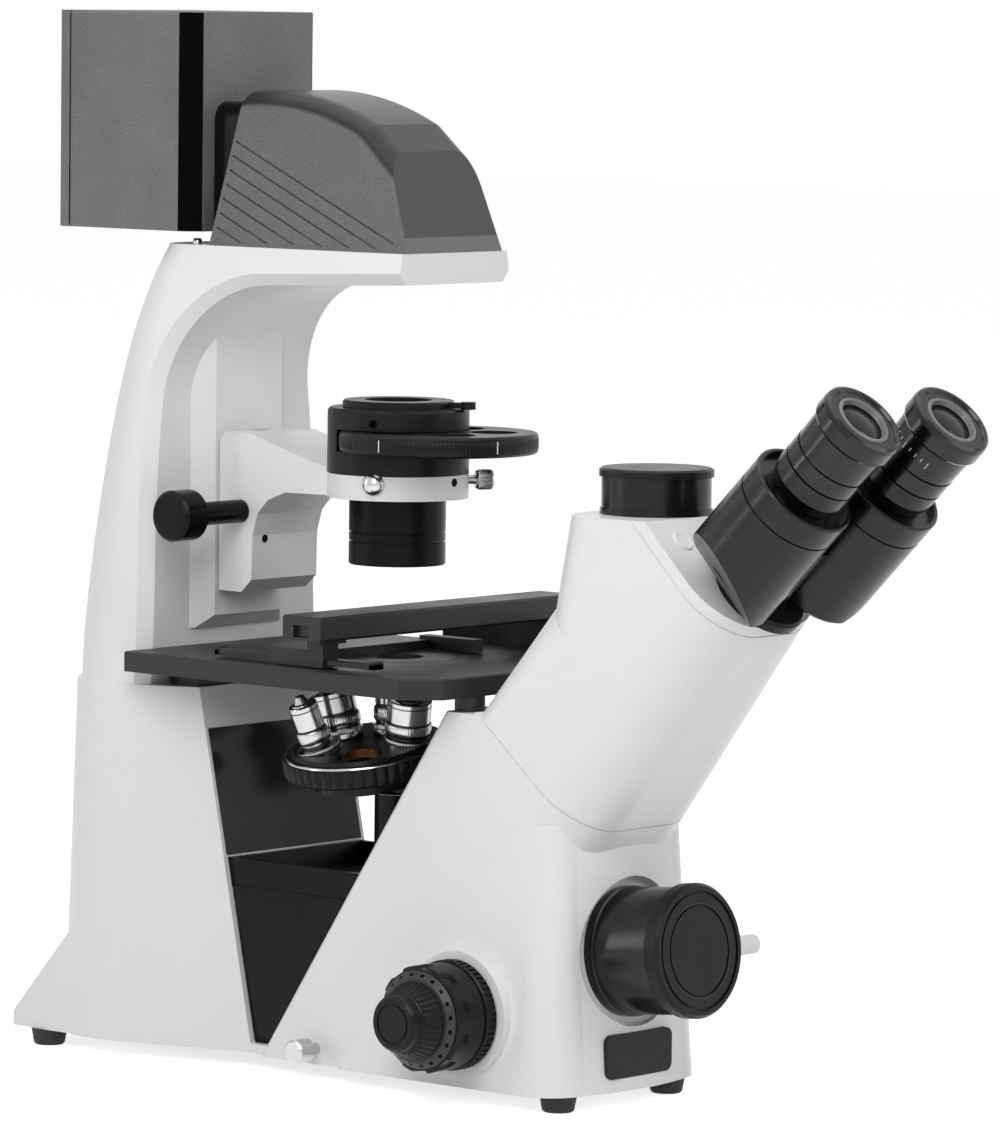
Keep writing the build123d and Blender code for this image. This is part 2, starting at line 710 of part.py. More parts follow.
def mirror_place():
    """Place of the base mirror: its own Z is the mirror's normal."""
    return Pos(0, 0, mirror_height()) * Rot(0, (90 - INCLINE) / 2, 0)


def base_mirror():
    return mirror_place() * Pos(0, 0, -1.5) * Box(30, 24, 3)


def light_path_rod():
    """Pull rod with its knob outside and the mirror carriage inside."""
    knob = turned(
        (0, ROD_KNOB_REACH - 13), (4.5, ROD_KNOB_REACH - 13), (ROD_KNOB_RADIUS, ROD_KNOB_REACH - 11),
        (ROD_KNOB_RADIUS, ROD_KNOB_REACH - 1), (ROD_KNOB_RADIUS - 1, ROD_KNOB_REACH), (0, ROD_KNOB_REACH),
    )
    rod = disc(3.0, 10.0, ROD_KNOB_REACH - 10)
    rod = to_left(ROD_X, ROD_Z) * (knob + rod)
    carriage = block(-17.0, 17.0, -12.0, 12.0, FOOT_HEIGHT + PLATE_THICK + 0.3, mirror_height() + 20.0)
    lid = mirror_place() * Pos(0, 0, 50 - 3.0) * Box(120, 60, 100)
    return rod + (carriage - lid)


def tube_lens():
    place = arm_plane(-60.0, BEAM_OFFSET)
    return extrude(place * Circle(BEAM_RADIUS - RUNNING), 6.0)


def pillar_section(share, half, front_half, rear, round_radius):
    """One plan of the pillar; every value is a share of the column's own top."""
    height = SEAM_HEIGHT + share * (PILLAR_TOP - SEAM_HEIGHT)
    half, front_half = COLUMN_HALF_TOP * half, COLUMN_HALF_TOP * front_half
    rear, round_radius = COLUMN_REAR_TOP * rear, COLUMN_REAR_ROUND * round_radius
    outline = FilletPolyline(
        (SLAB_FRONT + 20, -front_half), (SLAB_FRONT + 20, front_half), (rear, half), (rear, -half),
        radius=[0, 0, round_radius, round_radius], close=True,
    )
    return Plane.XY.offset(height) * make_face(outline)


def illumination_pillar():
    body = loft([pillar_section(*row) for row in PILLAR_SHAPE])
    under = PILLAR_TOP - SLAB_ROOT_THICK
    centre_x = PILLAR_FRONT + ARCH_RADIUS
    centre_z = under - ARCH_RADIUS
    bend = ARCH_RADIUS * cos(radians(45))
    side = make_face([
        Line((PILLAR_FRONT, SEAM_HEIGHT), (PILLAR_FRONT, centre_z)),
        ThreePointArc((PILLAR_FRONT, centre_z), (centre_x - bend, centre_z + bend), (centre_x, under)),
        Line((centre_x, under), (SLAB_FRONT, PILLAR_TOP - SLAB_THICK)),
        Line((SLAB_FRONT, PILLAR_TOP - SLAB_THICK), (SLAB_FRONT, PILLAR_TOP)),
        Line((SLAB_FRONT, PILLAR_TOP), (LAMP_REAR - 60, PILLAR_TOP)),
        Line((LAMP_REAR - 60, PILLAR_TOP), (LAMP_REAR - 60, SEAM_HEIGHT)),
        Line((LAMP_REAR - 60, SEAM_HEIGHT), (PILLAR_FRONT, SEAM_HEIGHT)),
    ])
    body = body & extrude(Plane.XZ * side, 120, both=True)
    rim = [e for e in body.edges() if abs(e.center().Y) > 30 and e.length > ARCH_RADIUS]
    rim = [e for e in rim if e.center().X > PILLAR_FRONT - 1 and e.center().Z < PILLAR_TOP - 1]
    body = chamfer(rim, PILLAR_EDGE)
    pad = plan_prism(
        [
            (PILLAR_FRONT - 6, -PAD_ROOT_HALF - 6), (PILLAR_FRONT, -PAD_ROOT_HALF), (PAD_FRONT, -PAD_HALF),
            (PAD_FRONT, PAD_HALF), (PILLAR_FRONT, PAD_ROOT_HALF), (PILLAR_FRONT - 6, PAD_ROOT_HALF + 6),
        ],
        PAD_BOTTOM, PAD_TOP,
    )
    slope = side_prism(
        [(PILLAR_FRONT, PAD_BOTTOM - 2), (PAD_FRONT + 2, PAD_BOTTOM - 2), (PAD_FRONT + 2, PAD_BOTTOM + 9)], 60,
    )
    body += pad - slope
    hollow_front = PILLAR_FRONT - CAST_WALL
    deep = 0.92 * COLUMN_REAR_TOP - hollow_front + CAST_WALL / 4
    slim = 0.78 * COLUMN_REAR_TOP - hollow_front + CAST_WALL / 4
    low_hollow = Pos(hollow_front + deep / 2, 0) * Rectangle(-deep, 1.5 * COLUMN_HALF_TOP)
    top_hollow = Pos(hollow_front + slim / 2, 0) * Rectangle(-slim, COLUMN_HALF_TOP)
    body -= loft([Plane.XY.offset(SEAM_HEIGHT) * low_hollow, Plane.XY.offset(PAD_TOP) * top_hollow], ruled=True)
    body -= disc(FIELD_RADIUS + RUNNING, PILLAR_TOP - 6.0, PILLAR_TOP + 1)
    body -= disc(FIELD_RADIUS - 2.0, PILLAR_TOP - 40, PILLAR_TOP)
    return body


def field_lens():
    return turned((0, PILLAR_TOP - 6.0), (FIELD_RADIUS, PILLAR_TOP - 6.0), (FIELD_RADIUS, PILLAR_TOP - 1.5),
                  (0, PILLAR_TOP - 0.5))


def hood_form(inset):
    rear = HOOD_REAR + inset
    rear_top = rear + HOOD_LEAN
    base = PILLAR_TOP - inset
    brow = (4.0 - inset, HOOD_TOP_FRONT - inset)
    chin = (20.0 - inset, HOOD_TOP_FRONT - 14.0 - inset)
    middle = ((rear_top + brow[0]) / 2, (HOOD_TOP_REAR + HOOD_TOP_FRONT) / 2 + HOOD_BROW - inset)
    outline = make_face([
        Line((rear, base), (rear_top, HOOD_TOP_REAR - inset)),
        ThreePointArc((rear_top, HOOD_TOP_REAR - inset), middle, brow),
        Line(brow, chin),
        Line(chin, (HOOD_FRONT - inset, base)),
        Line((HOOD_FRONT - inset, base), (rear, base)),
    ])
    side = extrude(Plane.XZ * outline, 80, both=True)
    slope = (HOOD_HALF_FRONT - HOOD_HALF_REAR) / (HOOD_FRONT - HOOD_REAR)
    rear_half = HOOD_HALF_REAR - 40 * slope - inset
    front_half = HOOD_HALF_FRONT + 40 * slope - inset
    plan = make_face(Polyline(
        (HOOD_REAR - 40, -rear_half), (HOOD_FRONT + 40, -front_half),
        (HOOD_FRONT + 40, front_half), (HOOD_REAR - 40, rear_half), close=True,
    ))
    body = extrude(Plane.XY.offset(PILLAR_TOP - inset) * plan, 110, taper=HOOD_DRAFT) & side
    top = [e for e in body.edges() if e.center().Z > HOOD_TOP_FRONT - 25 and abs(e.center().Y) > 20]
    top = [e for e in top if abs(e.tangent_at(0.5).X) > 0.3]
    return fillet(top, HOOD_ROUND - inset)


def hood_grooves():
    """Slanting grooves on the lower rear of the hood's sides, parallel and evenly spaced."""
    skin = hood_form(0) - hood_form(HOOD_GROOVE_DEPTH)
    start = HOOD_TOP_REAR - HOOD_ROUND - 10.0
    length = 2 * (HOOD_FRONT - HOOD_REAR)
    slats = []
    for k in range(HOOD_GROOVES):
        slat = block(-length, length, -HOOD_HALF_REAR, HOOD_HALF_REAR, 0, HOOD_GROOVE_WIDTH)
        slats.append(Pos(HOOD_REAR, 0, start - k * HOOD_GROOVE_PITCH) * Rot(0, HOOD_GROOVE_TILT, 0) * slat)
    low = PILLAR_TOP + 2.0
    side = side_prism(
        [
            (HOOD_REAR + 3.0, low), (HOOD_REAR + HOOD_LEAN + 2.0, HOOD_TOP_REAR),
            (0, HOOD_TOP_REAR), (HOOD_FRONT - 9.0, low),
        ],
        2 * HOOD_HALF_REAR,
    )
    middle = HOOD_HALF_FRONT - HOOD_ROUND
    side -= block(HOOD_REAR - 9, HOOD_FRONT + 9, -middle, middle, low - 9, HOOD_TOP_REAR + 9)
    return [(slat & skin) & side for slat in slats]


def hood():
    shell = hood_form(0) - hood_form(HOOD_WALL)
    shell -= block(
        HOOD_REAR - 1, HOOD_REAR + HOOD_LEAN + HOOD_WALL + 1, -24, 24, BEAM_HEIGHT - 24, BEAM_HEIGHT + 24,
    )
    for groove in hood_grooves():
        shell -= groove
    return shell


def mirror_bracket():
    """Two cheeks standing on the slab that hold the hood's mirror."""
    outline = [
        (-24.0, PILLAR_TOP), (-20.0, PILLAR_TOP), (-20.0, BEAM_HEIGHT - 4), (19.0, PILLAR_TOP + 8), (19.0, PILLAR_TOP),
        (26.0, PILLAR_TOP), (26.0, BEAM_HEIGHT - 14), (-14.0, BEAM_HEIGHT + 20), (-24.0, BEAM_HEIGHT + 20),
    ]
    cheek = extrude(Plane.XZ * make_face(Polyline(*outline, close=True)), 3.0)
    return [Pos(0, -20.0, 0) * cheek, Pos(0, 23.0, 0) * cheek]


def hood_mirror():
    return Pos(0, 0, BEAM_HEIGHT) * Rot(0, 45, 0) * Pos(0, 0, 1.5) * Box(52, 40, 3)


def hood_rear_x(height):
    """Where the hood's leaning rear face stands at a height."""
    return HOOD_REAR + HOOD_LEAN * (height - PILLAR_TOP) / (HOOD_TOP_REAR - PILLAR_TOP)


def lamp_neck():
    body = side_prism(
        [
            (LAMP_FRONT, NECK_BOTTOM), (hood_rear_x(NECK_BOTTOM), NECK_BOTTOM),
            (hood_rear_x(NECK_TOP), NECK_TOP), (LAMP_FRONT, NECK_TOP),
        ],
        NECK_HALF,
    )
    body = fillet(body.edges().filter_by(Axis.X), 10.0)
    body -= Pos(LAMP_FRONT, 0, BEAM_HEIGHT) * Rot(0, 90, 0) * Cylinder(LENS_RADIUS, 4 * HOOD_LEAN)
    return body


def collector_lens():
    lens = turned((0, 0), (LENS_RADIUS - RUNNING, 0), (LENS_RADIUS - RUNNING, 2.5), (10.0, 5.0), (0, 5.8))
    return Pos(LAMP_FRONT + 0.5, 0, BEAM_HEIGHT) * Rot(0, 90, 0) * lens


def lamp_plan(rear, front, half, cut):
    return [(rear, -half), (front - cut, -half), (front, cut - half), (front, half - cut), (front - cut, half), (rear, half)]


def lamp_house():
    rear = LAMP_REAR + LAMP_COVER
    wall = LAMP_WALL
    body = plan_prism(lamp_plan(rear, LAMP_FRONT, LAMP_HALF, LAMP_CHAMFER), LAMP_BOTTOM, LAMP_TOP)
    rim = body.edges().group_by(Axis.Z)
    body = chamfer(rim[-1].filter_by(Axis.X) + rim[0].filter_by(Axis.X), 1.5)
    inner = lamp_plan(rear - 1, LAMP_FRONT - wall, LAMP_HALF - wall, LAMP_CHAMFER)
    body -= plan_prism(inner, LAMP_BOTTOM + wall, LAMP_TOP - wall)
    body -= Pos(LAMP_FRONT, 0, BEAM_HEIGHT) * Rot(0, 90, 0) * Cylinder(LENS_RADIUS - 2, 20)
    return body


def lamp_rear_cover():
    wall = LAMP_WALL
    body = block(LAMP_REAR, LAMP_REAR + LAMP_COVER, -LAMP_HALF, LAMP_HALF, LAMP_BOTTOM, LAMP_TOP)
    body = chamfer(body.faces().sort_by(Axis.X)[0].edges(), 3.0)
    body -= block(
        LAMP_REAR + 2 * wall, LAMP_REAR + LAMP_COVER + 1, wall - LAMP_HALF, LAMP_HALF - wall,
        LAMP_BOTTOM + wall, LAMP_TOP - wall,
    )
    return body


def lamp_socket():
    rear = LAMP_REAR + 2 * LAMP_WALL
    body = block(rear, rear + 26, -14, 14, BEAM_HEIGHT - 14, BEAM_HEIGHT + 14)
    body -= Pos(rear + 26, 0, BEAM_HEIGHT) * Rot(0, 90, 0) * Cylinder(4.0 + RUNNING, 20)
    return body


def lamp_bulb():
    start = LAMP_REAR + 2 * LAMP_WALL + 16
    glass = turned((0, 0), (4.0, 0), (4.0, 12), (5.8, 15), (5.8, 24), (4.0, 29), (0, 31))
    return Pos(start, 0, BEAM_HEIGHT) * Rot(0, 90, 0) * glass


def rack_face_x():
    """The toothed side of the condenser's rack."""
    return KNOB_AXIS_X - PINION_RADIUS - 0.3


def condenser_rail():
    bar = block(PAD_FRONT, PAD_FRONT + RAIL_THICK, -RAIL_HALF, RAIL_HALF, RAIL_BOTTOM, RAIL_TOP)
    rack = block(PAD_FRONT, rack_face_x(), -RACK_HALF, RACK_HALF, RAIL_BOTTOM, RAIL_TOP)
    return bar + rack


def condenser_carrier():
    back = PAD_FRONT + 1.0
    body = side_prism(
        [
            (back, CARRIER_BOTTOM), (-90.0, CARRIER_BOTTOM), (-82.5, CARRIER_BOTTOM + 7), (-82.0, KNOB_AXIS_Z - 13),
            (-78.5, KNOB_AXIS_Z - 1), (-71.0, KNOB_AXIS_Z + 7),
            (-58.0, RING_BOTTOM), (-20.0, RING_BOTTOM), (-20.0, RING_TOP), (-36.0, RING_TOP + 3.0),
            (-84.0, CARRIER_TOP), (back + 6.0, CARRIER_TOP), (back, CARRIER_TOP - 6.0),
        ],
        CARRIER_HALF,
    )
    body = body & plan_prism(
        [(back, -26), (-60.0, -26), (-30.0, -22), (10.0, -22), (10.0, 22), (-30.0, 22), (-60.0, 26), (back, 26)],
        CARRIER_BOTTOM, CARRIER_TOP,
    )
    body = chamfer(body.edges().filter_by(Axis.Z).group_by(Axis.X)[0], 2.0)
    body -= disc(RING_RADIUS + MOVE_GAP, RING_TOP, CARRIER_TOP + 5)
    body += disc(RING_RADIUS, RING_BOTTOM, RING_TOP)
    body -= disc(BARREL_RADIUS + RUNNING, RING_BOTTOM - 1, RING_TOP + 1)
    slot = MOVE_GAP
    body -= block(back - 1, PAD_FRONT + RAIL_THICK + slot, -RAIL_HALF - slot, RAIL_HALF + slot, PAD_BOTTOM, PAD_TOP)
    body -= block(back - 1, rack_face_x() + 0.3, -RACK_HALF - slot, RACK_HALF + slot, PAD_BOTTOM, PAD_TOP)
    body -= to_left(KNOB_AXIS_X, KNOB_AXIS_Z) * disc(PINION_RADIUS + 1.2, -RACK_HALF - 1.5, RACK_HALF + 1.5)
    body -= to_left(KNOB_AXIS_X, KNOB_AXIS_Z) * disc(KNOB_JOURNAL + RUNNING, RACK_HALF, 60)
    return body


def condenser_knob():
    root = KNOB_REACH - KNOB_LENGTH
    shaft = disc(KNOB_JOURNAL, RACK_HALF - 1, CARRIER_HALF + 1)
    shaft += disc(KNOB_SHAFT_RADIUS, CARRIER_HALF + MOVE_GAP, root + 1)
    pinion = disc(PINION_RADIUS - 0.05, -RACK_HALF, RACK_HALF)
    knob = turned(
        (0, root), (KNOB_RADIUS - 2, root), (KNOB_RADIUS, root + 2), (KNOB_RADIUS, KNOB_REACH - 1.5),
        (KNOB_RADIUS - 1.5, KNOB_REACH), (0, KNOB_REACH),
    )
    return to_left(KNOB_AXIS_X, KNOB_AXIS_Z) * (shaft + pinion + knob)


def screw_place():
    return Rot(0, 0, SCREW_ANGLE) * Pos(RING_RADIUS, 0, (RING_BOTTOM + RING_TOP) / 2 + 2.5) * Rot(0, 90, 0)


def condenser_thumb_screw():
    head = turned((0, 4), (4.6, 4), (5.2, 5), (5.2, 13), (4.6, 14), (0, 14))
    return screw_place() * (disc(2.5, 0, 6) + head)


def turret_housing():
    body = disc(RING_RADIUS, RING_TOP, HOUSING_TOP)
    body = chamfer(body.edges().group_by(Axis.Z)[-1], 1.5)
    slot = MOVE_GAP
    body -= disc(DISC_RADIUS + 1.5, DISC_BOTTOM - slot, DISC_BOTTOM + DISC_THICK + slot, x=DISC_OFFSET)
    body -= disc(FIELD_RADIUS, RING_TOP - 1, HOUSING_TOP + 1)
    body += disc(DISC_PIN, DISC_BOTTOM - slot, DISC_BOTTOM + DISC_THICK + slot, x=DISC_OFFSET)
    return body


def phase_disc():
    body = disc(DISC_RADIUS, DISC_BOTTOM, DISC_BOTTOM + DISC_THICK)
    body = chamfer(body.edges().filter_by(GeomType.CIRCLE), 1.2)
    body -= disc(DISC_PIN + RUNNING, DISC_BOTTOM - 1, DISC_BOTTOM + DISC_THICK + 1)
    for k in range(DISC_STOPS):
        turn = radians(180 + 360 * k / DISC_STOPS)
        body -= disc(
            DISC_HOLE, DISC_BOTTOM - 1, DISC_BOTTOM + DISC_THICK + 1,
            x=DISC_OFFSET * cos(turn), y=DISC_OFFSET * sin(turn),
        )
    return Pos(DISC_OFFSET, 0, 0) * body


def iris_lever():
    low = HOUSING_TOP
    ring = turned(
        (FIELD_RADIUS, low), (IRIS_RADIUS, low), (IRIS_RADIUS, low + IRIS_THICK - 1),
        (IRIS_RADIUS - 1, low + IRIS_THICK), (FIELD_RADIUS, low + IRIS_THICK),
    )
    lever = block(IRIS_RADIUS - 3, IRIS_LEVER, -2.5, 2.5, low + 0.5, low + IRIS_THICK - 0.5)
    tip = disc(4.0, low, low + IRIS_THICK, x=IRIS_LEVER)
    return ring + Rot(0, 0, 20) * (lever + tip)


def condenser_barrel():
    groove = BARREL_BOTTOM + 12
    return turned(
        (LENS_RADIUS - 2, BARREL_BOTTOM), (BARREL_RADIUS - 4, BARREL_BOTTOM), (BARREL_RADIUS, BARREL_BOTTOM + 4),
        (BARREL_RADIUS, groove), (BARREL_RADIUS - 1.2, groove), (BARREL_RADIUS - 1.2, groove + 6),
        (BARREL_RADIUS, groove + 6), (BARREL_RADIUS, RING_TOP), (LENS_RADIUS, RING_TOP),
        (LENS_RADIUS, BARREL_BOTTOM + 3), (LENS_RADIUS - 2, BARREL_BOTTOM + 3),
    )


def condenser_lens():
    low = BARREL_BOTTOM + 3
    return turned((0, low), (LENS_RADIUS - RUNNING, low), (LENS_RADIUS - RUNNING, low + 5), (10, low + 10), (0, low + 11))


def stage_plate():
    body = block(STAGE_REAR, STAGE_FRONT, -STAGE_HALF, STAGE_HALF, STAGE_BOTTOM, STAGE_TOP)
    corners = body.edges().filter_by(Axis.Z).group_by(Axis.X)[-1]
    body = chamfer(corners, STAGE_CHAMFER)
    body = chamfer(body.faces().sort_by(Axis.Z)[-1].edges(), 0.8)
    body -= disc(INSERT_RADIUS - INSERT_LEDGE, STAGE_BOTTOM - 1, STAGE_TOP + 1)
    body -= disc(INSERT_RADIUS, STAGE_TOP - INSERT_THICK, STAGE_TOP + 1)
    return body


def stage_insert():
    body = disc(INSERT_RADIUS - 2 * RUNNING, STAGE_TOP - INSERT_THICK, STAGE_TOP)
    body -= disc(INSERT_HOLE, STAGE_BOTTOM, STAGE_TOP + 1)
    body -= turned(
        (33.2, STAGE_TOP - 0.5), (34.4, STAGE_TOP - 0.5), (34.4, STAGE_TOP + 1), (33.2, STAGE_TOP + 1),
    )
    return body


def stage_posts():
    return [
        disc(POST_RADIUS, SHOULDER_Z, STAGE_BOTTOM, x=POST_FRONT_X, y=side * POST_FRONT_Y) for side in (-1, 1)
    ]


def stage_heel():
    """The solid foot under the rear of the stage, on the column."""
    return block(
        POST_REAR_X - 11, POST_REAR_X + 9, -POST_REAR_Y - 6, POST_REAR_Y + 6, SEAM_HEIGHT, STAGE_BOTTOM,
    )


def stage_rail():
    """The rail on the right edge of the stage that the cross bar runs along."""
    rail = block(-46.0, 82.0, STAGE_HALF, STAGE_HALF + 7.0, STAGE_BOTTOM, BAR_BOTTOM - 3.0)
    return chamfer(rail.edges().filter_by(Axis.Z), 1.5)


def stage_bar():
    bar = block(BAR_X - BAR_HALF_X, BAR_X + BAR_HALF_X, -BAR_HALF_Y, STALK_Y + STALK_RADIUS, BAR_BOTTOM, BAR_TOP)
    bar = chamfer(bar.edges().filter_by(Axis.Y), 1.2)
    foot = block(
        BAR_X - BAR_HALF_X, BAR_X + BAR_HALF_X, STAGE_HALF, STAGE_HALF + 7.0,
        BAR_BOTTOM - 3.0 + 0.1, BAR_BOTTOM + 1,
    )
    sleeve = disc(STALK_RADIUS, BAR_BOTTOM - 34.0, BAR_BOTTOM + 1, x=BAR_X, y=STALK_Y)
    bore = disc(3.0 + RUNNING, BAR_BOTTOM - 40, BAR_TOP - 3, x=BAR_X, y=STALK_Y)
    slot = block(BAR_X - 4, BAR_X + 4, -BAR_HALF_Y + 6, BAR_HALF_Y - 12, BAR_BOTTOM - 1, BAR_BOTTOM + 5)
    notch = block(BAR_X - 6, BAR_X + 5, -BAR_HALF_Y - 1, -BAR_HALF_Y + 3, BAR_BOTTOM + 1.5, BAR_BOTTOM + 8)
    return bar + foot + sleeve - bore - slot - notch


def stage_knob(low, bore):
    knob = disc(STAGE_KNOB_RADIUS, low, low + STAGE_KNOB_HEIGHT)
    knob = chamfer(knob.edges().filter_by(GeomType.CIRCLE), 1.2)
    knob -= disc(bore, low - 1, low + STAGE_KNOB_HEIGHT + 1)
    return Pos(BAR_X, STALK_Y, 0) * knob


def knob_top():
    return BAR_BOTTOM - 34.0 - MOVE_GAP


def stage_x_knob():
    low = knob_top() - STAGE_KNOB_HEIGHT
    collar = disc(STALK_RADIUS - 1, low - 2, low + 1) - disc(3.0 + RUNNING, low - 3, low + 2)
    return stage_knob(low, 3.0 + RUNNING) + Pos(BAR_X, STALK_Y, 0) * collar


def stage_y_knob():
    low = knob_top() - 2 * STAGE_KNOB_HEIGHT - 2 - MOVE_GAP
    shaft = disc(3.0, low, BAR_TOP - 4, x=BAR_X, y=STALK_Y)
    return stage_knob(low, 2.0) + shaft


def specimen_holder():
    front = BAR_X + 1.5
    rear = -19.0
    low = STAGE_TOP + MOVE_GAP
    body = block(rear, front, HOLDER_Y - 6, HOLDER_Y + 6, low, HOLDER_TOP)
    body += block(rear, rear + 8, HOLDER_Y, 44, low, low + 5)
    body += block(rear, front, 40, 48, low, low + 7)
    body += block(BAR_X - 3.5, BAR_X + 3.5, HOLDER_Y - 10, HOLDER_Y + 10, BAR_BOTTOM - 3, BAR_BOTTOM + 4.5)
    body += block(BAR_X - 10, BAR_X + 1.5, HOLDER_Y - 6, HOLDER_Y + 6, HOLDER_TOP - 1, BAR_BOTTOM - 0.1)
    return body


def nose_place():
    """Place of the nosepiece: its own Z is the axis it turns on."""
    return Pos(0, -NOSE_PITCH * cos(radians(NOSE_TILT)), NOSE_Z) * Rot(NOSE_TILT, 0, 0)


def objective_place(angle):
    """Place of one objective on the nosepiece: its own Z is its optical axis, zero at its seat."""
    return nose_place() * Rot(0, 0, angle) * Pos(NOSE_PITCH, 0, 0) * Rot(0, NOSE_TILT, 0) * Pos(0, 0, -1)


def nosepiece_turret():
    low = -NOSE_RIM - NOSE_PLATE
    body = turned(
        (0, low), (NOSE_RADIUS - 1.5, low), (NOSE_RADIUS, low + 1.5), (NOSE_RADIUS, -NOSE_PLATE - 1),
        (NOSE_RADIUS - 1, -NOSE_PLATE), (NOSE_RADIUS - 4, -NOSE_PLATE), (NOSE_RADIUS - 5.5, 0), (0, 0),
    )
    body -= disc(6.0 + RUNNING, low - 1, -4)
    body = nose_place() * body
    for k in range(NOSE_STOPS):
        place = objective_place(90 + 360 * k / NOSE_STOPS)
        body -= place * disc(OBJECTIVE_LIGHT, -30, 1)
        body -= place * disc(OBJECTIVE_BORE, -OBJECTIVE_SOCKET, 1)
        body -= place * disc(SPOT_FACE, 0, 10)
    return body


def nosepiece_bracket():
    top = -NOSE_RIM - NOSE_PLATE - MOVE_GAP
    plate = disc(BRACKET_RADIUS, top - BRACKET_THICK, top)
    pin = disc(6.0, top - 1, -4.5)
    body = nose_place() * (plate + pin)
    notch = LIGHT_TUBE_RADIUS + TUBE_ROOM
    arm = block(notch, rack_x() - RACK_THICK, -16.0, RACK_Y + 12, NOSE_Z - 26.6, NOSE_Z - 14.6)
    body += arm
    body -= disc(notch, NOSE_Z - 40, NOSE_Z + 20)
    return body


def objective(angle, radius, length, collar, tip):
    thread = disc(OBJECTIVE_BORE - RUNNING, -OBJECTIVE_THREAD, 0.5)
    nose = radius * 0.72
    band = 0.5
    shape = turned(
        (0, 0), (collar, 0), (collar, 4), (radius - band, 4.4), (radius - band, 5.4), (radius, 5.8),
        (radius, length * 0.42), (radius - band, length * 0.42), (radius - band, length * 0.46),
        (radius, length * 0.46), (radius, length - 9), (nose, length - 4),
        (tip + 1.5, length - 3.5), (tip, length), (0, length),
    )
    body = thread + shape
    body -= disc(5.0, -OBJECTIVE_THREAD - 1, length - 6)
    return objective_place(angle) * body


def focus_guide():
    low = NOSE_Z - 45.6
    high = NOSE_Z - 16.6
    face = rack_x() + MOVE_GAP
    wedge = make_face(Polyline(
        (face, low), (face, high), (arm_rear_x(high) - RUNNING, high), (arm_rear_x(low) - RUNNING, low),
        close=True,
    ))
    body = extrude(Plane.XZ * wedge, 13.0, both=True)
    for side in (-1, 1):
        inner = side * (RACK_WIDTH / 2 + MOVE_GAP)
        body += block(face - RACK_THICK + 1, face + 1, inner, side * 13.0, low + 3.0, low + 19.0)
    return Pos(0, RACK_Y, 0) * body


def focus_rack():
    bar = block(
        rack_x() - RACK_THICK, rack_x(), RACK_Y - RACK_WIDTH / 2, RACK_Y + RACK_WIDTH / 2, FOCUS_Z / 2, NOSE_Z + 5.4,
    )
    return chamfer(bar.edges().group_by(Axis.Z)[0], 0.8)


def focus_idler():
    half = RACK_WIDTH / 2 - 1
    gear = disc(IDLER_RADIUS - 0.4, RACK_Y - half, RACK_Y + half)
    shaft = disc(4.0, RACK_Y - half - 6, RACK_Y + half + 6)
    return to_right(idler_x(), FOCUS_Z) * (gear + shaft)


def coarse_left():
    return COLLAR_REACH + 2 * MOVE_GAP + TENSION_WIDTH


def coarse_shaft():
    """Hollow shaft with the focus pinion, carrying the coarse knobs."""
    left = coarse_left() + COARSE_WIDTH
    right = COLLAR_REACH + MOVE_GAP + COARSE_WIDTH_RIGHT
    half = RACK_WIDTH / 2 - 1
    body = disc(COARSE_SHAFT, -left, right) + disc(FOCUS_PINION + 0.1, RACK_Y - half, RACK_Y + half)
    body -= disc(FINE_SHAFT + RUNNING, -left - 1, right + 1)
    return to_right(FOCUS_X, FOCUS_Z) * body


def coarse_knob(width):
    knob = turned(
        (COARSE_SHAFT, 0), (COARSE_RADIUS - 1, 0), (COARSE_RADIUS, 1), (COARSE_RADIUS, width * 0.45),
        (COARSE_RADIUS - 3, width * 0.52), (COARSE_RADIUS - 5, width - 1.5), (COARSE_RADIUS - 6.5, width),
        (COARSE_SHAFT, width),
    )
    grip = block(
        COARSE_RADIUS - 9.0, COARSE_RADIUS - 1.2, -GRIP_WIDTH / 2, GRIP_WIDTH / 2, width * 0.4, width * 0.82,
    )
    grip = chamfer(grip.edges().filter_by(Axis.Y).group_by(Axis.X)[-1], 1.5)
    for k in range(GRIP_COUNT):
        knob += Rot(0, 0, 360 * k / GRIP_COUNT) * grip
    return knob


def coarse_knobs():
    left = to_left(FOCUS_X, FOCUS_Z) * Pos(0, 0, coarse_left()) * coarse_knob(COARSE_WIDTH)
    right = to_right(FOCUS_X, FOCUS_Z) * Pos(0, 0, COLLAR_REACH + MOVE_GAP) * coarse_knob(COARSE_WIDTH_RIGHT)
    return [left, right]


def fine_knob(width):
    face = FINE_RADIUS * 0.62
    knob = turned(
        (FINE_SHAFT, 0), (FINE_RADIUS - 1, 0), (FINE_RADIUS, 1), (FINE_RADIUS, width * 0.55),
        (FINE_RADIUS - 0.8, width * 0.6), (FINE_RADIUS - 0.8, width - 1.5), (FINE_RADIUS - 2.3, width),
        (face + 1.0, width), (face + 1.0, width - 0.7), (face, width - 0.7), (face, width), (FINE_SHAFT, width),
    )
    return knob - knurl(FINE_RADIUS, 1.2, width * 0.54, 0.8, FINE_RIDGES)


def fine_start(side_start, width):
    return side_start + width + MOVE_GAP


def fine_knobs():
    start = fine_start(coarse_left(), COARSE_WIDTH)
    left = to_left(FOCUS_X, FOCUS_Z) * Pos(0, 0, start) * fine_knob(FINE_WIDTH)
    start = fine_start(COLLAR_REACH + MOVE_GAP, COARSE_WIDTH_RIGHT)
    right = to_right(FOCUS_X, FOCUS_Z) * Pos(0, 0, start) * fine_knob(FINE_WIDTH_RIGHT)
    return [left, right]


def fine_shaft():
    right = fine_start(COLLAR_REACH + MOVE_GAP, COARSE_WIDTH_RIGHT) + FINE_WIDTH_RIGHT
    left = fine_start(coarse_left(), COARSE_WIDTH) + FINE_WIDTH
    return to_right(FOCUS_X, FOCUS_Z) * disc(FINE_SHAFT, -left, right)


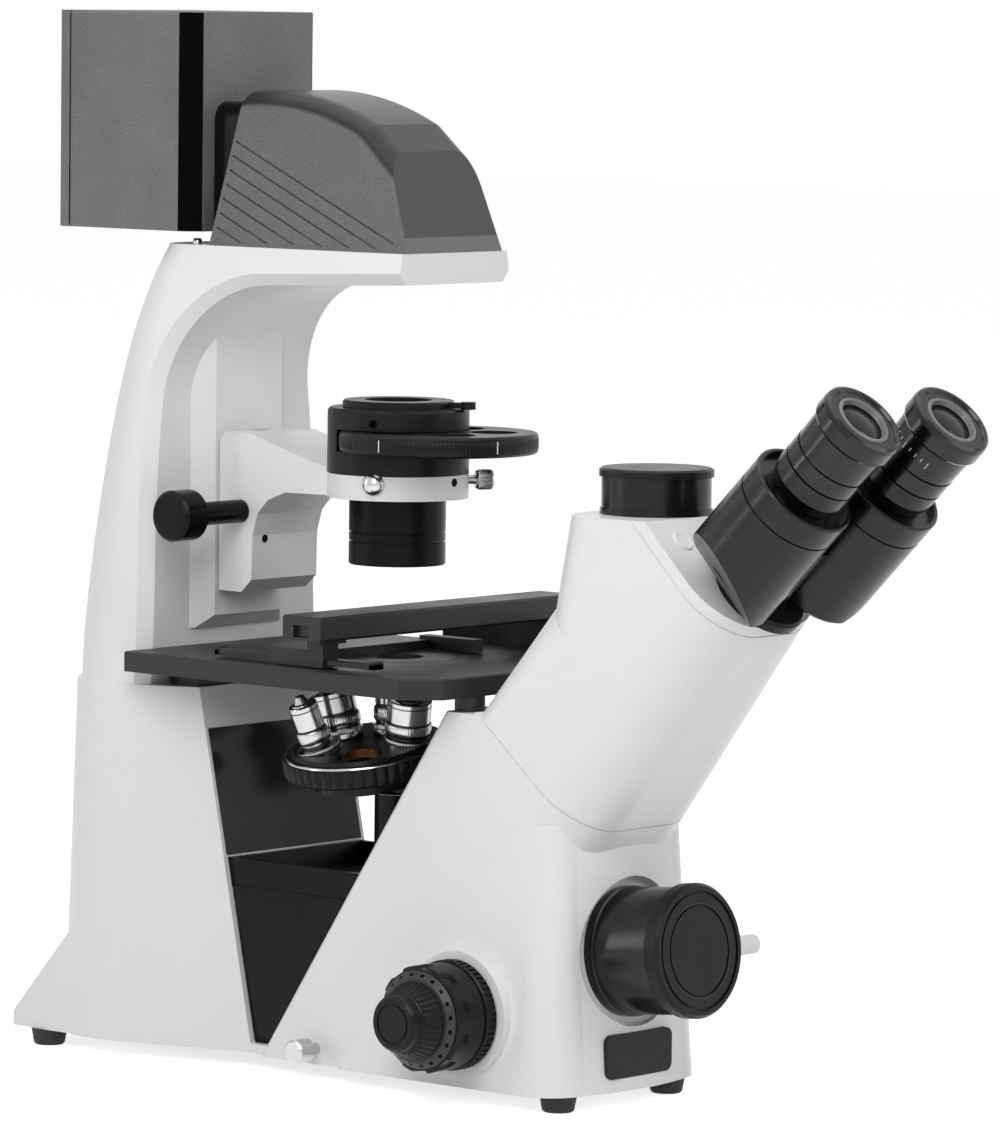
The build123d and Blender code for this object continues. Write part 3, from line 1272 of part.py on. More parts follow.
def tension_ring():
    low = COLLAR_REACH + MOVE_GAP
    ring = turned(
        (COARSE_SHAFT + MOVE_GAP, low), (TENSION_RADIUS - 1, low), (TENSION_RADIUS, low + 1),
        (TENSION_RADIUS, low + TENSION_WIDTH - 1), (TENSION_RADIUS - 1, low + TENSION_WIDTH),
        (COARSE_SHAFT + MOVE_GAP, low + TENSION_WIDTH),
    )
    ring -= knurl(TENSION_RADIUS, low + 1.2, low + TENSION_WIDTH - 1.2, 0.7, TENSION_RIDGES)
    return to_left(FOCUS_X, FOCUS_Z) * ring


def port_selector_rod():
    rod = disc(3.0, 24.0, PORT_ROD_REACH - 10)
    knob = turned(
        (0, PORT_ROD_REACH - 20), (PORT_ROD_KNOB - 1, PORT_ROD_REACH - 20), (PORT_ROD_KNOB, PORT_ROD_REACH - 18),
        (PORT_ROD_KNOB, PORT_ROD_REACH - 2), (PORT_ROD_KNOB - 2, PORT_ROD_REACH), (0, PORT_ROD_REACH),
    )
    slide = block(PORT_ROD_X - 9, PORT_ROD_X + 7, 22.0, 46.0, PORT_ROD_Z - 10, PORT_ROD_Z + 16)
    return to_right(PORT_ROD_X, PORT_ROD_Z) * (rod + knob) + slide


def head_profile():
    front = SEAM_POINT + ARM_DOWN * SEAM_DEPTH
    end = SEAM_POINT + ARM_AXIS * HEAD_REACH + ARM_DOWN * HEAD_DEPTH_TOP
    edge_z = (FACE_SUM - end.X + end.Z) / 2
    return [
        (SEAM_X, SEAM_Z), (HEAD_KNEE_X, HEAD_KNEE_Z), (HEAD_TOP_X, HEAD_TOP_Z),
        (FACE_SUM - HEAD_TOP_Z, HEAD_TOP_Z), (FACE_SUM - edge_z, edge_z), (front.X, front.Z),
    ]


def head_section(lift, back, depth, half, rear_round, inset):
    """One closed section across the head, round at the rear and broad and round at the front."""
    low, high, side = back + inset, depth - inset, half - inset
    front_round = FRONT_ROUND - inset
    outline = FilletPolyline(
        (low, -side), (high, -side), (high, side), (low, side),
        radius=[rear_round - inset, front_round, front_round, rear_round - inset], close=True,
    )
    return arm_plane(lift) * make_face(outline)


def head_form(inset):
    """The head's outer form, or the same form drawn in by a little."""
    profile = head_profile()
    knee = Vector(HEAD_KNEE_X, 0, HEAD_KNEE_Z) - SEAM_POINT
    top = Vector(HEAD_TOP_X, 0, HEAD_TOP_Z) - SEAM_POINT
    knee_lift = knee.dot(ARM_AXIS)
    knee_back = knee.dot(ARM_DOWN)
    lean = (top.dot(ARM_DOWN) - knee_back) / (top.dot(ARM_AXIS) - knee_lift)
    slim = (HEAD_DEPTH_TOP - SEAM_DEPTH) / HEAD_REACH
    narrow = (HEAD_HALF_TOP - SEAM_HALF) / HEAD_REACH
    end = HEAD_REACH + 20.0
    low = head_section(0, 0, SEAM_DEPTH, SEAM_HALF, REAR_ROUND, inset)
    middle = head_section(
        knee_lift, knee_back, SEAM_DEPTH + slim * knee_lift, SEAM_HALF + narrow * knee_lift, HEAD_REAR_ROUND,
        inset,
    )
    high = head_section(
        end, knee_back + lean * (end - knee_lift), SEAM_DEPTH + slim * end, SEAM_HALF + narrow * end, HEAD_REAR_ROUND,
        inset,
    )
    body = loft([low, middle], ruled=True) + loft([middle, high], ruled=True)
    roof = max(z for x, z in profile)
    body -= block(-300, 600, -200, 200, roof, roof + 300)
    return body - extrude(face_plane(0) * Rectangle(600, 400), 400)


def head_housing():
    body = head_form(0)
    skin = body - head_form(GROOVE_DEPTH)
    body -= skin & extrude(arm_plane(0) * Rectangle(600, 400), GROOVE_WIDTH)
    body -= skin & extrude(face_plane(-FACE_LIP) * Rectangle(600, 400), -GROOVE_WIDTH)
    body -= disc(TRINO_WELL, HEAD_TOP_Z - TRINO_DEPTH, HEAD_TOP_Z + 1, x=TRINO_X)
    body -= extrude(seam_hollow(), SEAM_HOLLOW_HIGH)
    body -= extrude(face_plane(0) * Circle(12.0), -20)
    return body


def trinocular_tube():
    top = HEAD_TOP_Z + TRINO_HEIGHT
    return Pos(TRINO_X, 0, 0) * turned(
        (TRINO_BORE, HEAD_TOP_Z), (TRINO_RADIUS + 0.8, HEAD_TOP_Z), (TRINO_RADIUS + 0.8, HEAD_TOP_Z + 3),
        (TRINO_RADIUS, HEAD_TOP_Z + 3), (TRINO_RADIUS, top), (TRINO_BORE, top),
    )


def trinocular_cap():
    low = HEAD_TOP_Z + TRINO_HEIGHT
    rim = TRINO_RADIUS + CAP_RIM
    return Pos(TRINO_X, 0, 0) * turned(
        (0, low), (rim, low), (rim, low + CAP_THICK - 1.5), (rim - 1.5, low + CAP_THICK - 0.4),
        (0, low + CAP_THICK),
    )


def front_port_tube():
    return port_place() * turned(
        (PORT_BORE, 0), (PORT_RADIUS + 1, 0), (PORT_RADIUS + 1, 5), (PORT_RADIUS, 5.5),
        (PORT_RADIUS, PORT_LENGTH), (PORT_BORE, PORT_LENGTH),
    )


def front_port_cap():
    low = PORT_LENGTH
    rim = PORT_RADIUS + CAP_RIM
    high = low + PORT_CAP
    return port_place() * turned(
        (0, low), (rim, low), (rim + 0.7, low + 1), (rim + 0.7, high - 2), (rim - 1, high), (rim - 3.4, high),
        (rim - 3.4, high - 1.4), (rim - 5.0, high - 1.4), (rim - 5.0, high - 0.4), (rim - 10.4, high - 0.4),
        (rim - 10.4, high - 1.4), (rim - 11.6, high - 1.4), (rim - 11.6, high - 0.4), (0, high - 0.4),
    )


def face_plane(lift):
    """A plane on the sloped face of the head, a height above it; its own Y is Y."""
    origin = EYE_POINT + FACE_AXIS * lift
    return Plane(origin, x_dir=FACE_DOWN, z_dir=FACE_AXIS)


def face_place(side=0.0):
    """Place on the binocular head, which stands a little turned on its flange."""
    return Location(face_plane(0)) * Rot(0, 0, EYE_TURN) * Pos(0, side, 0)


def binocular_base():
    body = turned((0, 0), (26.0, 0), (26.0, 4.5), (24.5, 6.0), (7.0, 6.0), (7.0, 48.0), (6.0, 49.0), (0, 49.0))
    body -= disc(4.5, -1, 60)
    return face_place() * body


def drum(side):
    """One observation tube with its hub on the centre pin; the hubs lap one above the other."""
    high = DRUM_LIFT + DRUM_LENGTH
    body = turned(
        (0, DRUM_LIFT), (DRUM_RADIUS - 2, DRUM_LIFT), (DRUM_RADIUS, DRUM_LIFT + 2), (DRUM_RADIUS, high - 15),
        (DRUM_RADIUS - 0.8, high - 15), (DRUM_RADIUS - 0.8, high - 14), (DRUM_RADIUS, high - 14),
        (DRUM_RADIUS, high - 1), (DRUM_RADIUS - 1, high), (DRUM_RADIUS - DRUM_RIM, high),
        (DRUM_RADIUS - DRUM_RIM, high - DRUM_SINK), (EYE_TUBE_ROOT, high - DRUM_SINK), (EYE_TUBE_ROOT, high - 1),
        (EYE_TUBE_RADIUS, high + 5), (EYE_TUBE_RADIUS, high + EYE_TUBE_LENGTH), (0, high + EYE_TUBE_LENGTH),
    )
    outer = side * DRUM_RADIUS
    cut = extrude(
        Plane.YZ * make_face(Polyline(
            (outer - side * DRUM_CUT, DRUM_LIFT - 1), (outer + side * 5, DRUM_LIFT - 1),
            (outer + side * 5, DRUM_LIFT + DRUM_CUT_RISE + 4), close=True,
        )),
        60, both=True,
    )
    body -= cut
    body -= disc(EYE_BORE, high - 24, high + EYE_TUBE_LENGTH + 1)
    body -= disc(11.0, DRUM_LIFT + 8, high)
    body = Pos(0, side * EYE_HALF, 0) * body
    low = DRUM_LIFT if side < 0 else DRUM_LIFT + 19.5
    for step in (low, ):
        hub = disc(13.5, step, step + 19)
        link = block(-10.0, 10.0, 0, side * (EYE_HALF - 12), step, step + 19)
        body += hub + link
    body -= disc(7.0 + RUNNING, DRUM_LIFT - 1, DRUM_LIFT + 60)
    other = DRUM_LIFT + 19.25 if side < 0 else DRUM_LIFT - 1
    body -= disc(14.2, other, other + 20) & block(-20, 20, -20, 20, 0, 100)
    return face_place() * body


def eyepiece(side):
    seat = DRUM_LIFT + DRUM_LENGTH + EYE_TUBE_LENGTH
    high = seat + EYE_LENGTH
    body = turned(
        (10.0, seat - 22), (EYE_BORE - RUNNING, seat - 22), (EYE_BORE - RUNNING, seat + MOVE_GAP),
        (EYE_TUBE_RADIUS - 0.5, seat + MOVE_GAP), (EYE_TUBE_RADIUS, seat + 1), (EYE_TUBE_RADIUS, seat + 10),
        (EYE_TUBE_RADIUS - 0.9, seat + 10), (EYE_TUBE_RADIUS - 0.9, seat + 11), (EYE_TUBE_RADIUS - 0.2, seat + 11),
        (EYE_TUBE_RADIUS + 0.3, seat + 27), (EYE_RADIUS - 1, seat + 27.5), (EYE_RADIUS, seat + 29),
        (EYE_RADIUS, high - 3.2), (EYE_RADIUS - 0.7, high - 1), (EYE_RADIUS - 2.2, high), (EYE_RADIUS - 3.8, high),
        (EYE_RADIUS - 4.6, high - 1.2), (15.4, high - 1.2), (14.8, high - 2.2), (12.6, high - 2.2),
        (12.0, high - 6), (10.0, high - 6),
    )
    return face_place(side * EYE_HALF) * body


def eye_lens(side):
    seat = DRUM_LIFT + DRUM_LENGTH + EYE_TUBE_LENGTH + EYE_LENGTH - 9
    lens = turned((0, seat - 3), (10.0 - RUNNING, seat - 3), (10.0 - RUNNING, seat + 2), (0, seat + 4))
    return face_place(side * EYE_HALF) * lens


def build():
    """Every piece by name, still about the optical axis."""
    return {
        "base_casting": base_casting(),
        "base_plate": base_plate(),
        "rubber_feet": rubber_feet(),
        "v_tray": v_tray(),
        "light_tube": light_tube(),
        "base_mirror": base_mirror(),
        "light_path_rod": light_path_rod(),
        "tube_lens": tube_lens(),
        "power_inlet": power_inlet(),
        "power_switch": power_switch(),
        "label_plate": label_plate(),
        "illumination_pillar": illumination_pillar(),
        "field_lens": field_lens(),
        "hood": [hood()] + mirror_bracket(),
        "hood_mirror": hood_mirror(),
        "lamp_neck": lamp_neck(),
        "collector_lens": collector_lens(),
        "lamp_house": lamp_house(),
        "lamp_rear_cover": lamp_rear_cover(),
        "lamp_socket": lamp_socket(),
        "lamp_bulb": lamp_bulb(),
        "condenser_rail": condenser_rail(),
        "condenser_carrier": condenser_carrier(),
        "condenser_knob": condenser_knob(),
        "condenser_thumb_screw": condenser_thumb_screw(),
        "turret_housing": turret_housing(),
        "phase_disc": phase_disc(),
        "iris_lever": iris_lever(),
        "condenser_barrel": condenser_barrel(),
        "condenser_lens": condenser_lens(),
        "stage_plate": stage_plate() + stage_heel(),
        "stage_insert": stage_insert(),
        "stage_fittings": stage_posts() + [stage_rail()],
        "stage_bar": stage_bar(),
        "stage_x_knob": stage_x_knob(),
        "stage_y_knob": stage_y_knob(),
        "specimen_holder": specimen_holder(),
        "nosepiece_turret": nosepiece_turret(),
        "nosepiece_bracket": nosepiece_bracket(),
        "objective_active": objective(90, 10.7, 33.0, 12.0, 3.0),
        "objective_broad": objective(162, 11.8, 29.0, 12.0, 4.5),
        "objective_slim": objective(234, 7.7, 33.0, 11.5, 2.5),
        "objective_front": objective(18, 11.65, 30.0, 12.0, 4.5),
        "focus_guide": focus_guide(),
        "focus_rack": focus_rack(),
        "focus_idler": focus_idler(),
        "coarse_knobs": coarse_knobs() + [coarse_shaft()],
        "fine_knobs": fine_knobs() + [fine_shaft()],
        "tension_ring": tension_ring(),
        "port_selector_rod": port_selector_rod(),
        "front_port_tube": front_port_tube(),
        "front_port_cap": front_port_cap(),
        "head_housing": head_housing(),
        "trinocular_tube": trinocular_tube(),
        "trinocular_cap": trinocular_cap(),
        "binocular_base": binocular_base(),
        "tube_left": drum(-1),
        "tube_right": drum(1),
        "eyepiece_left": [eyepiece(-1), eye_lens(-1)],
        "eyepiece_right": [eyepiece(1), eye_lens(1)],
    }


def solids_of(piece):
    """One solid, or one compound of the separate solids of a group."""
    items = piece if isinstance(piece, list) else [piece]
    solids = [solid for item in items for solid in item.solids()]
    return solids[0] if len(solids) == 1 else Compound(children=solids)


def frame_shift(pieces):
    """The move that puts the origin at the middle of the bottom of the whole instrument."""
    boxes = [piece.bounding_box() for piece in pieces.values()]
    x = (min(b.min.X for b in boxes) + max(b.max.X for b in boxes)) / 2
    y = (min(b.min.Y for b in boxes) + max(b.max.Y for b in boxes)) / 2
    z = min(b.min.Z for b in boxes)
    return Vector(-x, -y, -z)


def main():
    os.makedirs("parts", exist_ok=True)
    pieces = {name: solids_of(piece) for name, piece in build().items()}
    shift = frame_shift(pieces)
    for name, piece in pieces.items():
        export_step(Pos(shift.X, shift.Y, shift.Z) * piece, f"parts/{name}.step")


if __name__ == "__main__":
    main()
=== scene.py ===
"""Looks of an inverted microscope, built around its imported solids.

The solids are in metres. The small pieces are made in millimetres from the specimen's optical axis,
which stands upright through the middle of the stage insert, and are then brought into the same frame.
The user sits at +X and the light path rod is at -Y.
"""
from math import cos, pi, radians, sin

import bmesh
import bpy
from mathutils import Matrix, Vector
from mathutils.bvhtree import BVHTree


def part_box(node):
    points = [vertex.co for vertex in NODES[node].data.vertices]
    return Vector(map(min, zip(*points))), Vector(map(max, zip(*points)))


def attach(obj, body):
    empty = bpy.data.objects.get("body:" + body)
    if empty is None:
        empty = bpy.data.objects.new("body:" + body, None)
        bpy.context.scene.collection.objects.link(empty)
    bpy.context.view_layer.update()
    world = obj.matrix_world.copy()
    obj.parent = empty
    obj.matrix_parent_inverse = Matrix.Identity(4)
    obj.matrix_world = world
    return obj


bl_info = {
    "name": "Inverted microscope looks",
    "version": (1, 0, 0),
    "blender": (4, 5, 0),
    "location": "View3D > Sidebar > Microscope",
    "description": "Finishes, small details and studio for the inverted microscope",
    "category": "Object",
}

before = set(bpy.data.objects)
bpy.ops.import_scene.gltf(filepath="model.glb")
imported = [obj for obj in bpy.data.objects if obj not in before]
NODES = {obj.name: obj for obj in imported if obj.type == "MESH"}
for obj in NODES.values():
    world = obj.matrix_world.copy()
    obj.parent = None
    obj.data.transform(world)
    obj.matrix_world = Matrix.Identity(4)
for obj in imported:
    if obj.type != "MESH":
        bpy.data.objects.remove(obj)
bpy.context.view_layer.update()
MM = 0.001

# Places taken from the solids
INSERT_LOW, INSERT_HIGH = (Vector(v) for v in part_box("stage_insert"))
AXIS_X = (INSERT_LOW.x + INSERT_HIGH.x) / 2
STAGE_TOP = INSERT_HIGH.z / MM

# Nosepiece; each objective has its angle on it, radius, length and collar radius
NOSE_Z = 178.6
NOSE_PITCH = 25.0
NOSE_TILT = 12.0
NOSE_RADIUS = 44.0
SEAT_DEPTH = 1.0
EMPTY_ANGLE = 306
OBJECTIVES = ((90, 10.7, 33, 12), (162, 11.8, 29, 12), (234, 7.7, 33, 11.5), (18, 11.65, 30, 12))
TIP_LENGTH = 4.6

# Shares of an objective's length where its dark groove starts and ends
GROOVE_START = 0.42
GROOVE_END = 0.46

# Condenser
RING_RADIUS = 38.0
RING_Z = 318.0
RING_SCREW_ANGLES = (-68, 172)
THUMB_SCREW_ANGLE = 52
DISC_X = 29.0
DISC_RADIUS = 53.0
DISC_LOW = 334.5
DISC_STOPS = 5
DISC_FIRST_ANGLE = 131
BARREL_RADIUS = 26.0
BARREL_LOW = 273.0

# Focus drive; the right knobs are shorter by a share
FOCUS_X = 105.0
FOCUS_Z = 48.0
COARSE_START = 75.5
COARSE_START_RIGHT = 67.5
COARSE_SHARE_RIGHT = 0.75
FINE_START = COARSE_START + 24.5
FINE_START_RIGHT = COARSE_START_RIGHT + 18.5
FINE_SHARE_RIGHT = 0.70
DIAL_MARKS = 20

# Head, eyepieces and front port
FACE_PLACE = (248.234, 0.0, 272.766)
FACE_SLOPE = 45
FACE_TURN = -3.2
EYE_HALF = 34.5
EYE_SEAT = 97.0
EYE_TOP = EYE_SEAT + 39.5
PLUG_PLACE = (220.5, -27, 300.5)
PORT_PLACE = (164, 0, 80.5)
PORT_TILT = 84

# Stage
STALK = (18.5, 103.5)
BLADE_Y = -74.0

# Sloped faces of the column and the arm: foot, lean and rise
VALLEY_LOW = 9.0
COLUMN_FOOT = -50.0
COLUMN_LEAN = 42.0
COLUMN_RISE = 194.0
ARM_FOOT = -40.0
ARM_LEAN = 122.0
ARM_RISE = 195.0

# Lamp house
LAMP_MIDDLE = 507
LAMP_CORNER = (-109.75, 47.75)
LAMP_SEAM_X = -196.0
LAMP_SEAM_HALF_WIDTH = 52.5
LAMP_SEAM_HALF_HEIGHT = 58.86
SLAB_SCREW = (-116, 35, 441.4)

# Heights in metres between which the hood's skirt ends
SKIRT_END = (0.4490, 0.4496)

# Noise that makes the finishes uneven
CLOUD_SCALE = 28.0
CLOUD_RANGE = (0.3, 0.7)
SPECK_RANGE = (0.35, 0.65)
UNIT_RANGE = (0.0, 1.0)

# Camera and floor
SENSOR_WIDTH = 36.0
FOCAL_PIXELS = 6900
PICTURE_HEIGHT = 1128
FLOOR_REACH = 12.0
FLOOR_GLOW = 0.74

SHARP_ANGLE = 35
CORNERS = ((-1, -1), (1, -1), (1, 1), (-1, 1))
WHITE = (1, 1, 1, 1)


class FinishSettings(bpy.types.PropertyGroup):
    """Colours and gloss of the finishes."""
    enamel: bpy.props.FloatVectorProperty(
        name="Enamel", description="White of the castings", subtype="COLOR", size=3,
        default=(0.80, 0.80, 0.80))
    black: bpy.props.FloatVectorProperty(
        name="Black", description="Satin black of the metal pieces", subtype="COLOR", size=3,
        default=(0.010, 0.010, 0.0105))
    grain: bpy.props.FloatVectorProperty(
        name="Grain", description="Grained grey of the lamp house", subtype="COLOR", size=3,
        default=(0.140, 0.140, 0.141))
    hood: bpy.props.FloatVectorProperty(
        name="Hood", description="Dark grey of the hood", subtype="COLOR", size=3,
        default=(0.130, 0.130, 0.132))
    brow: bpy.props.FloatVectorProperty(
        name="Brow", description="Smooth black of the hood's top and front", subtype="COLOR", size=3,
        default=(0.045, 0.045, 0.046))
    bright: bpy.props.FloatVectorProperty(
        name="Bright metal", description="Plated screws and objectives", subtype="COLOR", size=3,
        default=(0.52, 0.52, 0.53))
    enamel_gloss: bpy.props.FloatProperty(
        name="Enamel roughness", description="Roughness of the white enamel", subtype="FACTOR",
        default=0.34, min=0.0, max=1.0)


class StudioSettings(bpy.types.PropertyGroup):
    """Camera and light."""
    turn: bpy.props.FloatProperty(
        name="Turn", description="Camera's turn round the upright axis", subtype="ANGLE",
        default=radians(41.0))
    rise: bpy.props.FloatProperty(
        name="Rise", description="Camera's height angle", subtype="ANGLE", default=radians(5.0))
    roll: bpy.props.FloatProperty(
        name="Roll", description="Camera's roll", subtype="ANGLE", default=radians(0.7))
    reach: bpy.props.FloatProperty(
        name="Distance", description="From the camera to its aim", unit="LENGTH", default=3.65)
    lens: bpy.props.FloatProperty(
        name="Lens", description="Focal length in millimetres",
        default=SENSOR_WIDTH * FOCAL_PIXELS / PICTURE_HEIGHT)
    aim: bpy.props.FloatVectorProperty(
        name="Aim", description="Point in the middle of the picture, from the optical axis", size=3,
        subtype="TRANSLATION", unit="LENGTH", default=(0.07315, 0.0, 0.27755))
    world: bpy.props.FloatProperty(
        name="World", description="Strength of the even light all round", default=0.25, min=0.0)
    key: bpy.props.FloatProperty(
        name="Key", description="Power of the soft lamp at the front left", unit="POWER",
        default=12.3, min=0.0)
    side: bpy.props.FloatProperty(
        name="Side", description="Power of the tall lamp at the rear left", unit="POWER",
        default=4.2, min=0.0)
    fill: bpy.props.FloatProperty(
        name="Fill", description="Power of the soft lamps at the right and above", unit="POWER",
        default=23.0, min=0.0)
    floor: bpy.props.FloatVectorProperty(
        name="Floor", description="Colour of the floor", subtype="COLOR", size=3,
        default=(0.86, 0.86, 0.86))


def look(context):
    return context.scene.microscope_finish


def scaled(colour, share):
    return [c * share for c in colour]


def new_material(name):
    """A new material with its tree and its shader."""
    material = bpy.data.materials.new(name)
    material.use_nodes = True
    tree = material.node_tree
    return material, tree, tree.nodes["Principled BSDF"]


def add(tree, kind, **values):
    """A new node; each value is one of its inputs or one of its settings."""
    node = tree.nodes.new(kind)
    for key, value in values.items():
        if key in node.inputs:
            node.inputs[key].default_value = value
        else:
            setattr(node, key, value)
    return node


def put(node, values):
    """Sets inputs of a node by their names."""
    for key, value in values.items():
        node.inputs[key].default_value = value


def spread(tree, value, source, target):
    """A value drawn from one range onto another, and held at its ends."""
    node = add(tree, "ShaderNodeMapRange")
    names = ("From Min", "From Max", "To Min", "To Max")
    put(node, dict(zip(names, (*source, *target))))
    tree.links.new(value, node.inputs["Value"])
    return node.outputs["Result"]


def mixed(tree, share, first, second, kind="RGBA"):
    """Two colours or values mixed by a share; each is a plain value or a socket."""
    mix = add(tree, "ShaderNodeMix", data_type=kind)
    sockets = [s for s in mix.inputs if s.enabled and s.name in ("A", "B")]
    tree.links.new(share, next(s for s in mix.inputs if s.enabled and s.name == "Factor"))
    for socket, value in zip(sockets, (first, second)):
        if isinstance(value, bpy.types.NodeSocket):
            tree.links.new(value, socket)
        else:
            socket.default_value = value
    return next(s for s in mix.outputs if s.enabled)


def finish(name, colour, rough, metal=0.0, grain=800.0, bump=0.05, vary=0.06, stretch=(1, 1, 1),
           shade=0.12, depth=0.0002, shine=0.5, speck=0.0):
    """A paint, plastic or metal: grain in the height, cloudy gloss and a slightly uneven colour."""
    material, tree, shader = new_material(name)
    link = tree.links.new
    put(shader, {"Metallic": metal, "Specular IOR Level": shine})
    place = add(tree, "ShaderNodeTexCoord")
    scale = add(tree, "ShaderNodeMapping", Scale=stretch)
    fine = add(tree, "ShaderNodeTexNoise", Scale=grain, Detail=3.0, Roughness=0.6)
    cloud = add(tree, "ShaderNodeTexNoise", Scale=CLOUD_SCALE, Detail=4.0, Roughness=0.55)
    link(place.outputs["Object"], scale.inputs["Vector"])
    link(scale.outputs["Vector"], fine.inputs["Vector"])
    link(place.outputs["Object"], cloud.inputs["Vector"])
    tone = add(tree, "ShaderNodeValToRGB")
    shares = (1 - shade / 2, 1 + shade / 2)
    for stop, position, share in zip(tone.color_ramp.elements, CLOUD_RANGE, shares):
        stop.position = position
        stop.color = [min(1.0, c) for c in scaled(colour, share)] + [1]
    link(cloud.outputs["Fac"], tone.inputs["Fac"])
    base = tone.outputs["Color"]
    if speck:
        dots = add(tree, "ShaderNodeVectorMath", operation="SCALE")
        link(base, dots.inputs["Vector"])
        link(spread(tree, fine.outputs["Fac"], SPECK_RANGE, (1 - speck, 1 + speck)), dots.inputs["Scale"])
        base = dots.outputs["Vector"]
    link(base, shader.inputs["Base Color"])
    gloss = (max(0.02, rough - vary), min(1.0, rough + vary))
    link(spread(tree, cloud.outputs["Fac"], CLOUD_RANGE, gloss), shader.inputs["Roughness"])
    height = add(tree, "ShaderNodeBump", Strength=bump, Distance=depth)
    link(fine.outputs["Fac"], height.inputs["Height"])
    link(height.outputs["Normal"], shader.inputs["Normal"])
    return material


def hood_zones(material, top, bevel_shade_colour, skirt, rough):
    """Keeps a grained finish on the sides and gives top, front and skirt their own; the bevels between side and
    top get a darker copy of the top's colour, which is painted shade.
    """
    tree = material.node_tree
    link = tree.links.new
    shader = tree.nodes["Principled BSDF"]
    place = add(tree, "ShaderNodeTexCoord")
    facing = add(tree, "ShaderNodeSeparateXYZ")
    where = add(tree, "ShaderNodeSeparateXYZ")
    sideways = add(tree, "ShaderNodeMath", operation="ABSOLUTE")
    link(place.outputs["Normal"], facing.inputs["Vector"])
    link(place.outputs["Object"], where.inputs["Vector"])
    link(facing.outputs["Y"], sideways.inputs[0])
    turned_side = spread(tree, sideways.outputs[0], (0.90, 0.97), UNIT_RANGE)
    bevel_shade_mask = spread(tree, sideways.outputs[0], (0.22, 0.48), UNIT_RANGE)
    above = spread(tree, where.outputs["Z"], SKIRT_END, UNIT_RANGE)
    side = shader.inputs["Base Color"].links[0].from_socket
    face = mixed(tree, above, (*skirt, 1), (*top, 1))
    # Painted shade: the bevels, picked by the way they face, take a darker copy of the top's colour.
    face = mixed(tree, bevel_shade_mask, face, (*bevel_shade_colour, 1))
    link(mixed(tree, turned_side, face, side), shader.inputs["Base Color"])
    gloss = shader.inputs["Roughness"].links[0].from_socket
    link(mixed(tree, turned_side, rough, gloss, "FLOAT"), shader.inputs["Roughness"])


def clear_glass(name, tint, coat_tint):
    """Lens glass with a faint coating."""
    material, tree, shader = new_material(name)
    put(shader, {
        "Base Color": (*tint, 1), "Transmission Weight": 1.0, "IOR": 1.52, "Coat Weight": 0.5,
        "Coat Tint": (*coat_tint, 1),
    })
    place = add(tree, "ShaderNodeTexCoord")
    cloud = add(tree, "ShaderNodeTexNoise", Scale=60.0, Detail=2.0)
    tree.links.new(place.outputs["Object"], cloud.inputs["Vector"])
    gloss = spread(tree, cloud.outputs["Fac"], UNIT_RANGE, (0.005, 0.03))
    tree.links.new(gloss, shader.inputs["Roughness"])
    return material


def dress(material, *names):
    """Puts a finish on solids that keep their own shape."""
    for name in names:
        mesh = NODES[name].data
        if mesh.materials:
            for k in range(len(mesh.materials)):
                mesh.materials[k] = material
        else:
            mesh.materials.append(material)


def shift(x, y, z):
    return Matrix.Translation((x, y, z))


def turn(degrees, axis):
    return Matrix.Rotation(radians(degrees), 4, axis)


def nose_place():
    """Place of the nosepiece: its own Z is the axis it turns on."""
    return shift(0, -NOSE_PITCH * cos(radians(NOSE_TILT)), NOSE_Z) @ turn(NOSE_TILT, "X")


def objective_place(angle):
    """Place of one objective: its own Z is its optical axis, zero at its seat."""
    seat = shift(NOSE_PITCH, 0, 0) @ turn(NOSE_TILT, "Y") @ shift(0, 0, -SEAT_DEPTH)
    return nose_place() @ turn(angle, "Z") @ seat


def eye_place(side):
    """Place of one eyepiece: its own Z is its axis, zero at the head's sloped face."""
    return shift(*FACE_PLACE) @ turn(FACE_SLOPE, "Y") @ turn(FACE_TURN, "Z") @ shift(0, side * EYE_HALF, 0)


def knob_place(out):
    """Place on the focus shaft's left end, with Z to the left."""
    return shift(FOCUS_X, 0, FOCUS_Z) @ turn(90, "X") @ shift(0, 0, out)


def knob_place_right(out, share):
    """Place on the focus shaft's right end, with Z to the right and sizes along it drawn in by a share."""
    return shift(FOCUS_X, 0, FOCUS_Z) @ turn(-90, "X") @ shift(0, 0, out) @ Matrix.Diagonal((1, 1, share, 1))


def ring_place(angle):
    """Place on the condenser's ring, with Z straight out of it."""
    return turn(angle, "Z") @ shift(RING_RADIUS, 0, RING_Z) @ turn(90, "Y")


def column_x(z):
    """Where the column's sloped front face stands at a height."""
    return COLUMN_FOOT - COLUMN_LEAN * (z - VALLEY_LOW) / COLUMN_RISE


def arm_x(z):
    """Where the arm's sloped rear face stands at a height."""
    return ARM_FOOT + ARM_LEAN * (z - VALLEY_LOW) / ARM_RISE


def on_circle(radius, angle, z):
    return radius * cos(angle), radius * sin(angle), z


def bridge(form, first, second):
    """A closed band of faces between two rings of points."""
    for k in range(len(first)):
        n = (k + 1) % len(first)
        form.faces.new((first[k], first[n], second[n], second[k]))


def lathe(profile, steps=96, teeth=0):
    """A closed profile turned about Z; a third value on a point is its lobe height between the teeth."""
    form = bmesh.new()
    steps = teeth * 6 if teeth else steps
    rings = []
    for k in range(steps):
        angle = 2 * pi * k / steps
        lobe = abs(sin(teeth * angle / 2)) if teeth else 0.0
        ring = []
        for point in profile:
            radius = point[0] + (point[2] * lobe if len(point) > 2 else 0.0)
            ring.append(form.verts.new(on_circle(radius, angle, point[1])))
        rings.append(ring)
    count = len(profile)
    for k in range(steps):
        here, there = rings[k], rings[(k + 1) % steps]
        for j in range(count):
            n = (j + 1) % count
            form.faces.new((here[j], there[j], there[n], here[n]))
    bmesh.ops.remove_doubles(form, verts=form.verts, dist=1e-4)
    return form


